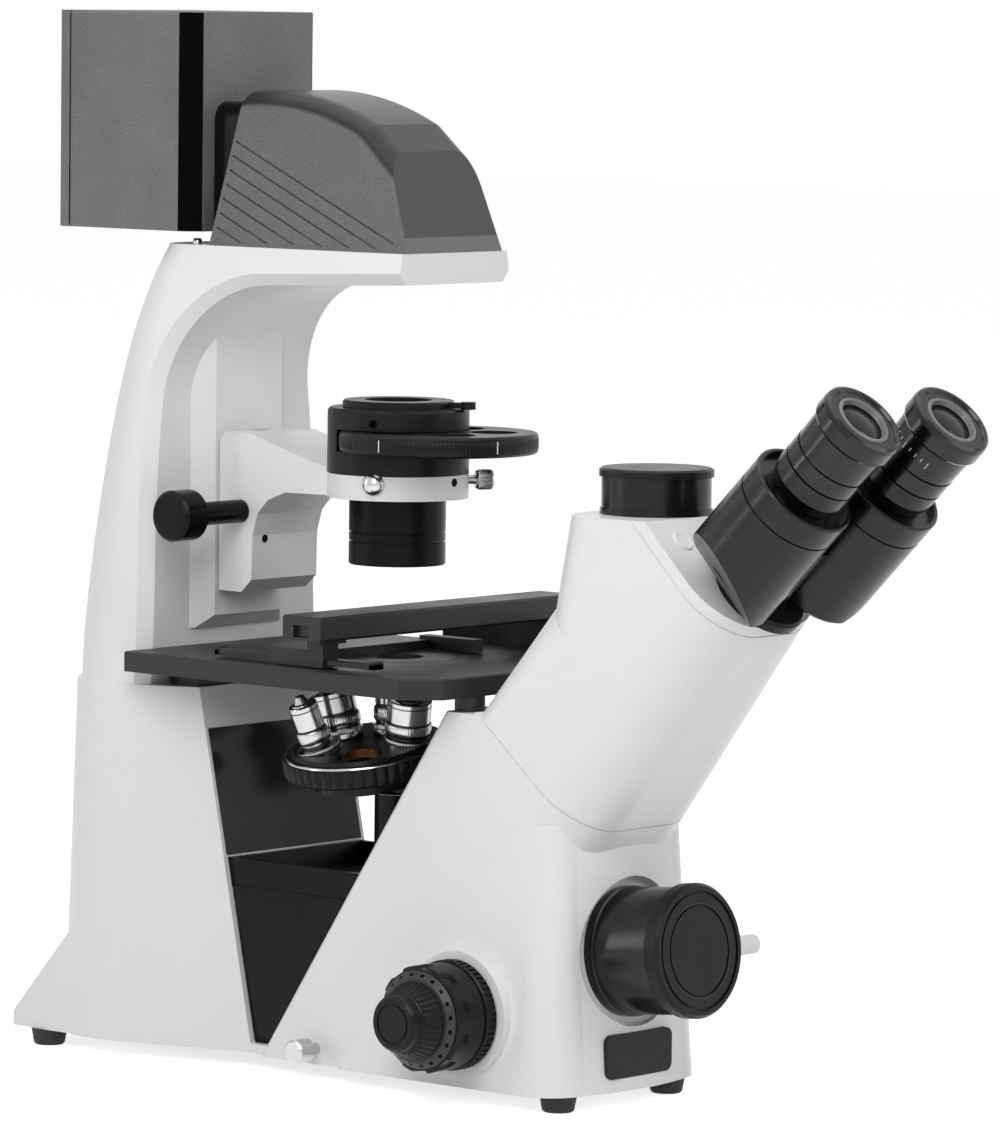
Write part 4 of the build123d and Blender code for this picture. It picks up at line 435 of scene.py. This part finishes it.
def hoop(inner, outer, low, high, steps=72):
    """A flat ring with square edges."""
    return lathe([(inner, low), (outer, low), (outer, high), (inner, high)], steps)


def knurled(radii, ends, lead, lobes, teeth):
    """A knurled ring, from the radii of its inside, edges and face and the lobes of edges and face."""
    inner, edge, face = radii
    low, high = ends
    small, large = lobes
    return lathe([
        (inner, low), (edge, low, small), (face, low + lead, large), (face, high - lead, large),
        (edge, high, small), (inner, high),
    ], teeth=teeth)


def dome_screw(radius, height):
    """A small domed screw head with a round socket."""
    return lathe([
        (0, -0.6), (radius, -0.6), (radius, height * 0.45), (radius * 0.86, height * 0.8),
        (radius * 0.6, height), (radius * 0.42, height), (radius * 0.38, height * 0.35), (0, height * 0.35),
    ], 48)


def plates(items):
    """Thin bevelled plates in one form, each by its size and place."""
    form = bmesh.new()
    for size, place in items:
        x, y, z = (v / 2 for v in size)
        edge = min(x, y, z) * 0.4
        low, mid, top = (
            [form.verts.new(place @ Vector((a * width, b * depth, height))) for a, b in CORNERS]
            for width, depth, height in ((x, y, -z), (x, y, z - edge), (x - edge, y - edge, z))
        )
        form.faces.new(low[::-1])
        form.faces.new(top)
        bridge(form, low, mid)
        bridge(form, mid, top)
    return form


def slab(corners, normal, thick, edge):
    """A flat plate with a bevelled face, from its corners and the way it faces."""
    form = bmesh.new()
    corners = [Vector(c) for c in corners]
    middle = sum(corners, Vector()) / len(corners)
    normal = Vector(normal).normalized()
    low = [form.verts.new(c - normal * thick) for c in corners]
    mid = [form.verts.new(c + normal * (thick - edge)) for c in corners]
    top = [form.verts.new(c + (middle - c).normalized() * edge * 1.5 + normal * thick) for c in corners]
    form.faces.new(low)
    form.faces.new(top)
    bridge(form, low, mid)
    bridge(form, mid, top)
    return form


def skin(node, middle, angles, heights, out, thick):
    """A thin cover that follows a solid's outside between two heights, seen from an upright middle line."""
    solid = NODES[node]
    points = [solid.matrix_world @ v.co for v in solid.data.vertices]
    tree = BVHTree.FromPolygons(points, [tuple(p.vertices) for p in solid.data.polygons])
    origin = Vector((AXIS_X, 0, 0))
    beyond = 120.0
    form = bmesh.new()
    strips = []
    for angle in angles:
        way = Vector((cos(radians(angle)), sin(radians(angle)), 0))
        ends = []
        for z in heights:
            start = origin + (Vector((*middle, z)) + way * beyond) * MM
            ends.append((tree.ray_cast(start, -way)[0] - origin) / MM)
        strips.append([form.verts.new(end + way * lift) for lift in (out, out - thick) for end in ends])
    for (a, b, c, d), (e, f, g, h) in zip(strips, strips[1:]):
        for loop in ((a, e, f, b), (c, d, h, g), (a, c, g, e), (b, f, h, d)):
            form.faces.new(loop)
    for a, b, c, d in (strips[0], strips[-1]):
        form.faces.new((a, b, d, c))
    return form


def seated(form, place):
    form.transform(place)
    return form


def join(forms):
    """Several forms as one."""
    whole = bmesh.new()
    for form in forms:
        mesh = bpy.data.meshes.new("joined")
        form.to_mesh(mesh)
        form.free()
        whole.from_mesh(mesh)
        bpy.data.meshes.remove(mesh)
    return whole


def piece(name, form, material, body):
    """A small piece, made in millimetres from the optical axis, that rides on a body."""
    form.transform(shift(AXIS_X, 0, 0) @ Matrix.Scale(MM, 4))
    bmesh.ops.recalc_face_normals(form, faces=form.faces)
    mesh = bpy.data.meshes.new(name)
    form.to_mesh(mesh)
    form.free()
    mesh.materials.append(bpy.data.materials[material])
    mesh.polygons.foreach_set("use_smooth", [True] * len(mesh.polygons))
    mesh.set_sharp_from_angle(angle=radians(SHARP_ANGLE))
    item = bpy.data.objects.new(name, mesh)
    bpy.context.collection.objects.link(item)
    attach(item, body)


class MICROSCOPE_OT_castings(bpy.types.Operator):
    """Paints the white castings and the white rod."""
    bl_idname = "microscope.castings"
    bl_label = "White castings"

    def execute(self, context):
        values = look(context)
        enamel = finish("white_enamel", values.enamel, values.enamel_gloss, grain=900.0, bump=0.06,
                        vary=0.04, shade=0.02)
        dress(enamel, "base_casting", "illumination_pillar", "head_housing", "condenser_carrier",
              "port_selector_rod")
        return {"FINISHED"}


class MICROSCOPE_OT_black_pieces(bpy.types.Operator):
    """Paints the black metal, plastic and rubber pieces."""
    bl_idname = "microscope.black_pieces"
    bl_label = "Black pieces"

    def execute(self, context):
        self.metal(look(context))
        self.lamp(look(context))
        self.plastic(look(context))
        return {"FINISHED"}

    def metal(self, values):
        black = values.black
        satin = finish("satin_black", black, 0.34, grain=1500.0, bump=0.10, vary=0.06, shine=0.16)
        gloss = finish("port_gloss", scaled(black, 0.6), 0.22, grain=600.0, bump=0.03, vary=0.04, shine=0.30)
        eye = finish("eye_black", scaled(black, 0.2), 0.18, grain=1400.0, bump=0.02, vary=0.03, shine=0.40)
        drum = finish("drum_black", scaled(black, 0.2), 0.25, grain=1100.0, bump=0.12, vary=0.04, shine=0.34)
        plate = finish("stage_black", scaled(black, 1.8), 0.42, grain=1200.0, bump=0.12, vary=0.06, shine=0.30)
        tray = finish("tray_black", scaled(black, 0.5), 0.26, grain=600.0, bump=0.05, vary=0.05, shine=0.10)
        dress(satin, "turret_housing", "phase_disc", "iris_lever", "light_tube", "front_port_cap",
              "trinocular_cap", "nosepiece_bracket", "nosepiece_turret", "focus_guide", "binocular_base",
              "base_plate")
        dress(gloss, "front_port_tube", "trinocular_tube")
        dress(eye, "eyepiece_left", "eyepiece_right")
        dress(drum, "tube_left", "tube_right")
        dress(plate, "stage_plate", "stage_insert", "stage_bar", "specimen_holder", "stage_fittings")
        dress(tray, "v_tray", "lamp_neck", "condenser_knob", "condenser_barrel")

    def lamp(self, values):
        grained = finish("grained_grey", values.grain, 0.50, grain=1200.0, bump=0.9, vary=0.06, depth=0.0005,
                         shade=0.3, speck=0.36)
        smooth = finish("hood_grey", values.hood, 0.48, grain=1300.0, bump=0.5, vary=0.05, depth=0.0004,
                        shine=0.35, speck=0.22)
        # The third colour, the brow darkened to 0.3, is painted shade on the hood's bevels.
        hood_zones(smooth, values.brow, scaled(values.brow, 0.3), values.hood, 0.30)
        dress(grained, "lamp_house", "lamp_rear_cover", "lamp_socket")
        dress(smooth, "hood")

    def plastic(self, values):
        black = values.black
        knob = finish("knob_black", scaled(black, 0.7), 0.36, grain=1700.0, bump=0.18, vary=0.06, shine=0.15)
        rubber = finish("foot_rubber", scaled(black, 0.9), 0.70, grain=1300.0, bump=0.35, vary=0.08)
        label = finish("label_grey", (0.020, 0.020, 0.021), 0.55, grain=2200.0, bump=0.3, vary=0.05, shine=0.18)
        dress(knob, "coarse_knobs", "fine_knobs", "tension_ring", "stage_x_knob", "stage_y_knob",
              "power_inlet", "power_switch")
        dress(rubber, "rubber_feet")
        dress(label, "label_plate")


class MICROSCOPE_OT_bright_pieces(bpy.types.Operator):
    """Finishes the plated, ground, glass and mirror pieces."""
    bl_idname = "microscope.bright_pieces"
    bl_label = "Bright pieces"

    def execute(self, context):
        bright = look(context).bright
        plated = finish("plated", bright, 0.20, metal=1.0, grain=500.0, bump=0.04, vary=0.06)
        ground = finish("ground_steel", scaled(bright, 0.75), 0.32, metal=1.0, grain=300.0, bump=0.08,
                        stretch=(1, 1, 12))
        silver = finish("silvered", (0.9, 0.9, 0.9), 0.04, metal=1.0, grain=200.0, bump=0.0, vary=0.02,
                        shade=0.02)
        lens = clear_glass("lens_glass", (0.92, 0.95, 0.97), (0.6, 0.5, 0.8))
        dress(plated, "objective_active", "objective_broad", "objective_slim", "objective_front",
              "condenser_thumb_screw", "light_path_rod")
        dress(ground, "condenser_rail", "focus_rack", "focus_idler")
        dress(silver, "base_mirror", "hood_mirror")
        dress(lens, "tube_lens", "field_lens", "collector_lens", "condenser_lens", "lamp_bulb")
        return {"FINISHED"}


class MICROSCOPE_OT_small_finishes(bpy.types.Operator):
    """Makes the finishes that only the small pieces use."""
    bl_idname = "microscope.small_finishes"
    bl_label = "Small finishes"

    def execute(self, context):
        values = look(context)
        black = scaled(values.black, 0.1)
        steel = scaled(values.bright, 0.9)
        finish("tick_white", (0.78, 0.78, 0.77), 0.45, grain=900.0, bump=0.04, vary=0.04, shade=0.04)
        finish("band_dark", (0.035, 0.035, 0.038), 0.40, metal=0.6, grain=1200.0, bump=0.1, vary=0.05)
        finish("thread_bronze", (0.17, 0.075, 0.03), 0.38, metal=0.7, grain=700.0, bump=0.1, vary=0.06)
        # Near black with almost no shine: the own colour of dial marks, set screws and the lamp house's seam,
        # and painted shade on the lamp house's front chamfers.
        finish("deep_black_and_painted_shade", black, 0.24, grain=500.0, bump=0.02, vary=0.04, shine=0.03)
        finish("dial_grey", (0.030, 0.030, 0.031), 0.40, grain=1200.0, bump=0.08, vary=0.05, shine=0.3)
        # Dark grey of the sheet on the column's front: painted shade where the white casting lies in shadow
        # under the stage.
        finish("column_painted_shade", (0.024, 0.0235, 0.021), 0.10, grain=400.0, bump=0.01, vary=0.03, shine=0.18)
        finish("eye_glass", (0.004, 0.005, 0.008), 0.05, grain=200.0, bump=0.0, vary=0.02, shine=0.35)
        finish("eye_rim", (0.16, 0.16, 0.16), 0.34, grain=900.0, bump=0.04, vary=0.04, shade=0.06)
        finish("screw_steel", steel, 0.22, metal=1.0, grain=600.0, bump=0.03, vary=0.05)
        return {"FINISHED"}


class MICROSCOPE_OT_nosepiece_details(bpy.types.Operator):
    """Adds the scalloped rim, the empty socket and the sleeves and bands of the objectives."""
    bl_idname = "microscope.nosepiece_details"
    bl_label = "Nosepiece details"

    def execute(self, context):
        self.turret()
        self.objectives()
        return {"FINISHED"}

    def turret(self):
        r = NOSE_RADIUS
        rim = lathe([
            (r - 1.2, -12.6), (r + 0.1, -12.6, 0.5), (r + 0.1, -11.6, 1.3), (r + 0.1, -4.4, 1.3),
            (r + 0.1, -3.3, 0.6), (r - 1.2, -3.3),
        ], teeth=44)
        piece("nosepiece_grip", seated(rim, nose_place()), "knob_black", "nosepiece")
        line = lathe([
            (r - 1.4, -2.6), (r - 0.1, -3.05), (r - 0.2, -2.65), (r - 1.0, -1.9), (r - 1.5, -1.9),
        ], 160)
        piece("nosepiece_rim", seated(line, nose_place()), "plated", "nosepiece")
        outer, crest, root, low = 10.13, 9.4, 9.75, -5.8
        thread = [(outer, low), (outer, -0.2), (crest, -0.2)]
        for k in range(7):
            z = -0.6 - 0.7 * k
            thread += [(root, z - 0.2), (crest, z - 0.5)]
        thread.append((crest, low))
        socket = seated(lathe(thread, 72), objective_place(EMPTY_ANGLE))
        piece("empty_socket", socket, "thread_bronze", "nosepiece")

    def objectives(self):
        knurls, bands, sleeves = [], [], []
        for angle, r, length, collar in OBJECTIVES:
            place = objective_place(angle)
            low, high, top = length * GROOVE_START, length * GROOVE_END, length - TIP_LENGTH
            radii = (collar - 0.8, collar + 0.05, collar + 0.08)
            knurls.append(seated(knurled(radii, (1.3, 3.7), 0.3, (0.15, 0.3), 48), place))
            bands += [seated(form, place) for form in (
                hoop(r - 0.9, r - 0.12, low + 0.06, high - 0.06),
                hoop(r - 0.9, r - 0.15, 4.5, 5.3),
                hoop(r - 0.3, r + 0.32, top - 3.2, top - 2.6),
            )]
            upper = lathe([
                (r - 0.6, high + 0.1), (r + 0.25, high + 0.1), (r + 0.25, top - 0.6), (r - 0.2, top),
                (r * 0.6, top), (r * 0.6, top - 1.2),
            ], 72)
            lower = lathe([
                (r - 0.6, 6.0), (r + 0.3, 6.0), (r + 0.8, 7.0, 0.12), (r + 0.8, low - 0.8, 0.12),
                (r + 0.4, low), (r - 0.6, low),
            ], teeth=56)
            sleeves += [seated(form, place) for form in (upper, lower)]
        piece("objective_knurls", join(knurls), "screw_steel", "nosepiece")
        piece("objective_sleeves", join(sleeves), "plated", "nosepiece")
        piece("objective_bands", join(bands), "band_dark", "nosepiece")


class MICROSCOPE_OT_condenser_details(bpy.types.Operator):
    """Adds the condenser's screws, the rim of its barrel and the knurl and marks of its disc."""
    bl_idname = "microscope.condenser_details"
    bl_label = "Condenser details"

    def execute(self, context):
        ball = [
            (0, -0.6), (6.0, -0.6), (6.2, 0.4), (5.9, 1.6), (5.0, 2.9), (3.6, 3.9), (1.9, 4.5), (0, 4.7),
        ]
        screws = [seated(lathe(ball, 64), ring_place(angle)) for angle in RING_SCREW_ANGLES]
        piece("ring_screws", join(screws), "plated", "condenser")
        pit = [(0, -0.6), (2.2, -0.6), (2.2, 0.12), (1.8, 0.2), (1.5, 0.2), (1.3, 0.02), (0, 0.02)]
        holes = [seated(lathe(pit, 40), place) for place in (
            ring_place(4) @ shift(-0.5, 0, 0.1),
            shift(-82.0, -16, 282) @ turn(90, "Y"),
            ring_place(-69) @ shift(-32.0, 0, 0.1),
        )]
        piece("set_screws", join(holes), "deep_black_and_painted_shade", "condenser")
        r = BARREL_RADIUS
        rim = lathe([(r - 3.6, 0.05), (r - 0.4, 0.05), (r + 0.05, 0.5), (r + 0.05, 4.4), (r - 0.8, 4.0)])
        band = hoop(r - 1.4, r - 0.05, 13.1, 16.9, 96)
        barrel = join([seated(form, shift(0, 0, BARREL_LOW)) for form in (rim, band)])
        piece("barrel_rim", barrel, "tray_black", "condenser")
        grip = knurled((4.2, 5.25, 5.3), (5.3, 12.7), 0.5, (0.1, 0.22), 40)
        piece("thumb_screw_grip", seated(grip, ring_place(THUMB_SCREW_ANGLE)), "plated", "thumb_screw")
        r = DISC_RADIUS
        disc = shift(DISC_X, 0, DISC_LOW)
        knurl = knurled((r - 1.5, r - 0.1, r), (2.5, 8.5), 0.4, (0.1, 0.25), 150)
        piece("disc_knurl", seated(knurl, disc), "knob_black", "phase_disc")
        marks = []
        for k in range(DISC_STOPS):
            angle = 360 / DISC_STOPS * k + DISC_FIRST_ANGLE
            marks.append(((0.4, 0.6, 6.4), disc @ turn(angle, "Z") @ shift(r + 0.2, 0, 5.5)))
        piece("disc_marks", plates(marks), "tick_white", "phase_disc")
        return {"FINISHED"}


class MICROSCOPE_OT_control_details(bpy.types.Operator):
    """Adds sleeves, dials and cones of the focus knobs, grips of the stage knobs and the port cap's line."""
    bl_idname = "microscope.control_details"
    bl_label = "Control details"

    def execute(self, context):
        ends = (knob_place(COARSE_START), knob_place_right(COARSE_START_RIGHT, COARSE_SHARE_RIGHT))
        sleeves = join([seated(self.sleeve(), end) for end in ends])
        piece("coarse_sleeves", sleeves, "knob_black", "coarse")
        dial = [
            (20.0, 20.6), (25.6, 20.6), (25.7, 21.2), (25.2, 21.6), (22.4, 24.25), (16.6, 24.35),
            (16.6, 23.6), (20.0, 23.4),
        ]
        faces = join([seated(lathe(dial, 120), end) for end in ends])
        piece("dial_faces", faces, "dial_grey", "coarse")
        marks = []
        for k in range(DIAL_MARKS):
            spoke = ends[0] @ turn(360 / DIAL_MARKS * (k + 0.5), "Z")
            marks.append(((1.7, 2.1, 0.4), spoke @ shift(23.85, 0, 22.9) @ turn(46.6, "Y")))
        piece("dial_marks", plates(marks), "deep_black_and_painted_shade", "coarse")
        cone = [(14.9, 0.5), (19.6, 0.5), (19.9, 1.1, 0.7), (16.0, 8.9, 0.7), (15.4, 9.4), (14.9, 9.4)]
        ends = (knob_place(FINE_START), knob_place_right(FINE_START_RIGHT, FINE_SHARE_RIGHT))
        cones = [seated(lathe(cone, teeth=34), end) for end in ends]
        piece("fine_cones", join(cones), "knob_black", "fine")
        for name, low, body in (("x_grip", 188.5, "x_knob"), ("y_grip", 170.0, "y_knob")):
            grip = knurled((11.0, 12.05, 12.1), (1.6, 14.4), 0.6, (0.15, 0.45), 40)
            piece(name, seated(grip, shift(*STALK, low)), "knob_black", body)
        port = shift(*PORT_PLACE) @ turn(PORT_TILT, "Y")
        line = lathe([(24.35, 49.4), (24.95, 49.4), (24.85, 49.8), (24.45, 49.8)], 120)
        piece("port_line", seated(line, port), "dial_grey", "port_cap")
        return {"FINISHED"}

    def sleeve(self):
        """The drum of a coarse knob, with ten trapezoid pockets sunk into its outer half."""
        form = bmesh.new()
        count, pockets = 320, 10
        outside, lip, inside = 28.15, 26.6, 19.5
        start, first, last, end = 9.0, 12.0, 19.8, 20.6
        rows = [start, 11.5] + [first + 0.5 * k for k in range(16)] + [20.4]
        angles = [2 * pi * k / count for k in range(count)]
        rings = []
        for z in rows:
            wall = 0.16 + 0.016 * (z - first)
            ring = []
            for k, angle in enumerate(angles):
                share = abs((k * pockets / count) % 1 - 0.5)
                sunk = min(1.0, max(0.0, (wall - share) / 0.05)) if first < z < last else 0.0
                radius = (outside if z < last else lip) - 1.5 * sunk
                ring.append(form.verts.new(on_circle(radius, angle, z)))
            rings.append(ring)
        for radius, z in ((25.0, end), (inside, end), (inside, start)):
            rings.append([form.verts.new(on_circle(radius, angle, z)) for angle in angles])
        for k in range(len(rings)):
            bridge(form, rings[k], rings[(k + 1) % len(rings)])
        return form


class MICROSCOPE_OT_stage_details(bpy.types.Operator):
    """Adds the flat blade of the specimen holder and the line round the insert."""
    bl_idname = "microscope.stage_details"
    bl_label = "Stage details"

    def execute(self, context):
        blade = [((114.0, 8.0, 3.4), shift(-3.0, BLADE_Y, 226.6))]
        blade += [((3.0, 8.0, 4.2), shift(x, BLADE_Y, 227.0)) for x in (52.5, -58.5)]
        piece("holder_blade", plates(blade), "stage_black", "holder")
        line = lathe([(54.2, -0.3), (54.8, -0.3), (54.75, 0.06), (54.25, 0.06)], 160)
        piece("insert_line", seated(line, shift(0, 0, STAGE_TOP)), "dial_grey", "insert")
        return {"FINISHED"}


class MICROSCOPE_OT_valley_details(bpy.types.Operator):
    """Adds a dark glossy sheet on the column's front, which is painted shade where the white casting stands in
    shadow under the stage, the panels of the tray's sides and a cover on the front right corner.
    """
    bl_idname = "microscope.valley_details"
    bl_label = "Valley details"

    def execute(self, context):
        # The dark sheet on the column's front is painted shade: the white casting there stands in shadow under
        # the stage, and the sheet takes its place, dark grey and glossy.
        low, high, half = 113.5, 181.0, 54.0
        shade_sheet = slab([
            (column_x(low), -half, low), (column_x(low), half, low), (column_x(high), half, high),
            (column_x(high), -half, high),
        ], (COLUMN_RISE, 0, COLUMN_LEAN), 0.35, 0.2)
        piece("column_shade_sheet", shade_sheet, "column_painted_shade", "stand")
        low, high, half = 15, 98, 53.6
        panels = []
        for side in (-1, 1):
            y = side * half
            panels.append(slab([
                (column_x(high) + 1.2, y, high), (arm_x(high) - 1.2, y, high), (arm_x(low) - 0.8, y, low),
                (column_x(low) + 0.8, y, low),
            ], (0, side, 0), 0.9, 0.5))
        piece("tray_panels", join(panels), "tray_black", "stand")
        cover = skin("base_casting", (130.0, 20.0), range(28, 49), (57.0, 97.0), 0.12, 0.8)
        piece("corner_cover", cover, "white_enamel", "stand")
        return {"FINISHED"}


class MICROSCOPE_OT_eyepiece_details(bpy.types.Operator):
    """Adds the eye lenses, their rings, the dioptre marks, the centre pin's cap and a plug on the head."""
    bl_idname = "microscope.eyepiece_details"
    bl_label = "Eyepiece details"

    def execute(self, context):
        top = EYE_TOP
        for side, body in ((-1, "left_eyepiece"), (1, "right_eyepiece")):
            name = body.replace("eyepiece", "eye")
            glass = lathe([
                (0, top - 5.7), (11.9, top - 5.7), (12.2, top - 4.6), (10.0, top - 3.7), (7.0, top - 2.9),
                (3.5, top - 2.4), (0, top - 2.25),
            ], 72)
            piece(name + "_glass", seated(glass, eye_place(side)), "eye_glass", body)
            ring = lathe([
                (12.4, top - 4.2), (12.75, top - 2.4), (15.1, top - 2.4), (15.1, top - 1.4), (14.2, top - 0.9),
                (13.1, top - 1.1), (12.1, top - 3.4),
            ], 72)
            piece(name + "_ring", seated(ring, eye_place(side)), "eye_rim", body)
        marks = []
        for k in range(-4, 5):
            rise, length = (19, 4.0) if k % 4 == 0 else (20, 2.2)
            place = eye_place(1) @ turn(11 * k - 90, "Z") @ shift(20.5, 0, EYE_SEAT + rise)
            marks.append(((0.5, 0.35, length), place))
        piece("dioptre_marks", plates(marks), "tick_white", "right_eyepiece")
        cap = lathe([
            (0, 48.6), (6.0, 48.6), (6.0, 50.3), (5.5, 50.8), (4.0, 50.8), (3.8, 50.4), (3.2, 50.4),
            (3.0, 50.8), (0, 50.8),
        ], 64)
        piece("pin_cap", seated(cap, eye_place(0)), "drum_black", "stand")
        plug = lathe([(0, -0.3), (5.8, -0.3), (5.8, 0.4), (5.4, 0.7), (4.7, 0.7), (4.5, 0.45), (0, 0.45)], 64)
        face = shift(*PLUG_PLACE) @ turn(FACE_SLOPE, "Y")
        piece("face_plug", seated(plug, face), "white_enamel", "stand")
        return {"FINISHED"}


class MICROSCOPE_OT_lamp_details(bpy.types.Operator):
    """Adds near-black strips on the lamp house's front chamfers, which are painted shade, the seam of the lamp
    house and the screws under the arm slab.
    """
    bl_idname = "microscope.lamp_details"
    bl_label = "Lamp details"

    def execute(self, context):
        strips = []
        # The strips on the two front chamfers are painted shade: near black where the chamfers stand in deep
        # shade and reflect the dark.
        x, y = LAMP_CORNER
        for side in (-1, 1):
            place = shift(x, side * y, LAMP_MIDDLE) @ turn(side * 45, "Z") @ turn(90, "Y")
            strips.append(((117.4, 13.2, 0.5), place))
        for side in (-1, 1):
            upright = shift(LAMP_SEAM_X, side * LAMP_SEAM_HALF_WIDTH, LAMP_MIDDLE)
            level = shift(LAMP_SEAM_X, 0, LAMP_MIDDLE + side * LAMP_SEAM_HALF_HEIGHT)
            strips += [((0.8, 0.3, 115.0), upright), ((0.8, 102.0, 0.3), level)]
        piece("lamp_shade_strips_and_seams", plates(strips), "deep_black_and_painted_shade", "stand")
        x, y, z = SLAB_SCREW
        screws = [seated(dome_screw(2.6, 2.6), shift(x, side * y, z)) for side in (-1, 1)]
        piece("slab_screws", join(screws), "screw_steel", "stand")
        return {"FINISHED"}


def soft_lamp(name, place, aim, size, power):
    """A rectangular lamp that faces its aim."""
    lamp = bpy.data.lights.new(name, "AREA")
    lamp.shape = "RECTANGLE"
    lamp.size, lamp.size_y = size
    lamp.energy = power
    item = bpy.data.objects.new(name, lamp)
    item.location = place
    item.rotation_euler = (Vector(aim) - Vector(place)).to_track_quat("-Z", "Y").to_euler()
    bpy.context.collection.objects.link(item)


def seen_ray(tree):
    """One where a camera, mirror or glass ray arrives, so that all of them see the pale backdrop."""
    path = add(tree, "ShaderNodeLightPath")
    first = add(tree, "ShaderNodeMath", operation="MAXIMUM")
    both = add(tree, "ShaderNodeMath", operation="MAXIMUM")
    tree.links.new(path.outputs["Is Camera Ray"], first.inputs[0])
    tree.links.new(path.outputs["Is Glossy Ray"], first.inputs[1])
    tree.links.new(first.outputs[0], both.inputs[0])
    tree.links.new(path.outputs["Is Transmission Ray"], both.inputs[1])
    return both.outputs[0]


class MICROSCOPE_OT_studio(bpy.types.Operator):
    """Sets the pale floor, the soft light and the camera."""
    bl_idname = "microscope.studio"
    bl_label = "Studio"

    def execute(self, context):
        scene = context.scene
        values = scene.microscope_studio
        scene.view_settings.view_transform = "Standard"
        self.floor(values)
        self.world(scene, values)
        soft_lamp("key_lamp", (AXIS_X + 0.65, -1.15, 1.15), (AXIS_X, 0, 0.36), (0.7, 1.0), values.key)
        soft_lamp("side_lamp", (AXIS_X - 1.45, -1.75, 0.85), (AXIS_X, 0, 0.32), (0.14, 1.3), values.side)
        soft_lamp("fill_lamp", (AXIS_X + 2.6, 1.2, 1.6), (AXIS_X + 0.1, 0, 0.25), (2.0, 2.0), values.fill)
        soft_lamp("top_lamp", (AXIS_X - 0.2, -0.2, 2.8), (AXIS_X, 0, 0.2), (2.4, 2.4), values.fill)
        self.camera(scene, values)
        return {"FINISHED"}

    def floor(self, values):
        mesh = bpy.data.meshes.new("floor")
        mesh.from_pydata([(a * FLOOR_REACH, b * FLOOR_REACH, 0) for a, b in CORNERS], [], [(0, 1, 2, 3)])
        item = bpy.data.objects.new("floor", mesh)
        bpy.context.collection.objects.link(item)
        material, tree, shader = new_material("floor_paper")
        put(shader, {
            "Base Color": (*values.floor, 1), "Roughness": 0.9, "Specular IOR Level": 0.1,
            "Emission Color": WHITE,
        })
        glow = add(tree, "ShaderNodeMath", operation="MULTIPLY")
        glow.inputs[1].default_value = FLOOR_GLOW
        tree.links.new(seen_ray(tree), glow.inputs[0])
        tree.links.new(glow.outputs[0], shader.inputs["Emission Strength"])
        mesh.materials.append(material)

    def world(self, scene, values):
        world = bpy.data.worlds.new("studio")
        world.use_nodes = True
        scene.world = world
        tree = world.node_tree
        back = tree.nodes["Background"]
        put(back, {"Color": WHITE})
        level = spread(tree, seen_ray(tree), UNIT_RANGE, (values.world, 1.0))
        tree.links.new(level, back.inputs["Strength"])

    def camera(self, scene, values):
        yaw, pitch, roll = values.turn, values.rise, values.roll
        back = Vector((sin(yaw) * cos(pitch), -cos(yaw) * cos(pitch), sin(pitch)))
        right = Vector((cos(yaw), sin(yaw), 0))
        up = Vector((-sin(yaw) * sin(pitch), cos(yaw) * sin(pitch), cos(pitch)))
        side = right * cos(roll) + up * sin(roll)
        top = up * cos(roll) - right * sin(roll)
        place = Vector(values.aim) + Vector((AXIS_X, 0, 0)) + back * values.reach
        data = bpy.data.cameras.new("camera")
        data.lens = values.lens
        data.sensor_width = SENSOR_WIDTH
        data.clip_end = 100.0
        item = bpy.data.objects.new("camera", data)
        axes = Matrix((side, top, back)).transposed().to_4x4()
        item.matrix_world = Matrix.Translation(place) @ axes
        bpy.context.collection.objects.link(item)
        scene.camera = item


STEPS = (
    MICROSCOPE_OT_castings, MICROSCOPE_OT_black_pieces, MICROSCOPE_OT_bright_pieces,
    MICROSCOPE_OT_small_finishes, MICROSCOPE_OT_nosepiece_details, MICROSCOPE_OT_condenser_details,
    MICROSCOPE_OT_control_details, MICROSCOPE_OT_stage_details, MICROSCOPE_OT_valley_details,
    MICROSCOPE_OT_eyepiece_details, MICROSCOPE_OT_lamp_details, MICROSCOPE_OT_studio,
)


class MICROSCOPE_PT_panel(bpy.types.Panel):
    """Lists the steps that dress the microscope."""
    bl_idname = "MICROSCOPE_PT_panel"
    bl_label = "Microscope"
    bl_space_type = "VIEW_3D"
    bl_region_type = "UI"
    bl_category = "Microscope"

    def draw(self, context):
        for step in STEPS:
            self.layout.operator(step.bl_idname)


CLASSES = (FinishSettings, StudioSettings, *STEPS, MICROSCOPE_PT_panel)


def register():
    for item in CLASSES:
        bpy.utils.register_class(item)
    bpy.types.Scene.microscope_finish = bpy.props.PointerProperty(type=FinishSettings)
    bpy.types.Scene.microscope_studio = bpy.props.PointerProperty(type=StudioSettings)


def unregister():
    del bpy.types.Scene.microscope_studio
    del bpy.types.Scene.microscope_finish
    for item in reversed(CLASSES):
        bpy.utils.unregister_class(item)


def main():
    register()
    for step in STEPS:
        group, name = step.bl_idname.split(".")
        getattr(getattr(bpy.ops, group), name)()


if __name__ == "__main__":
    main()
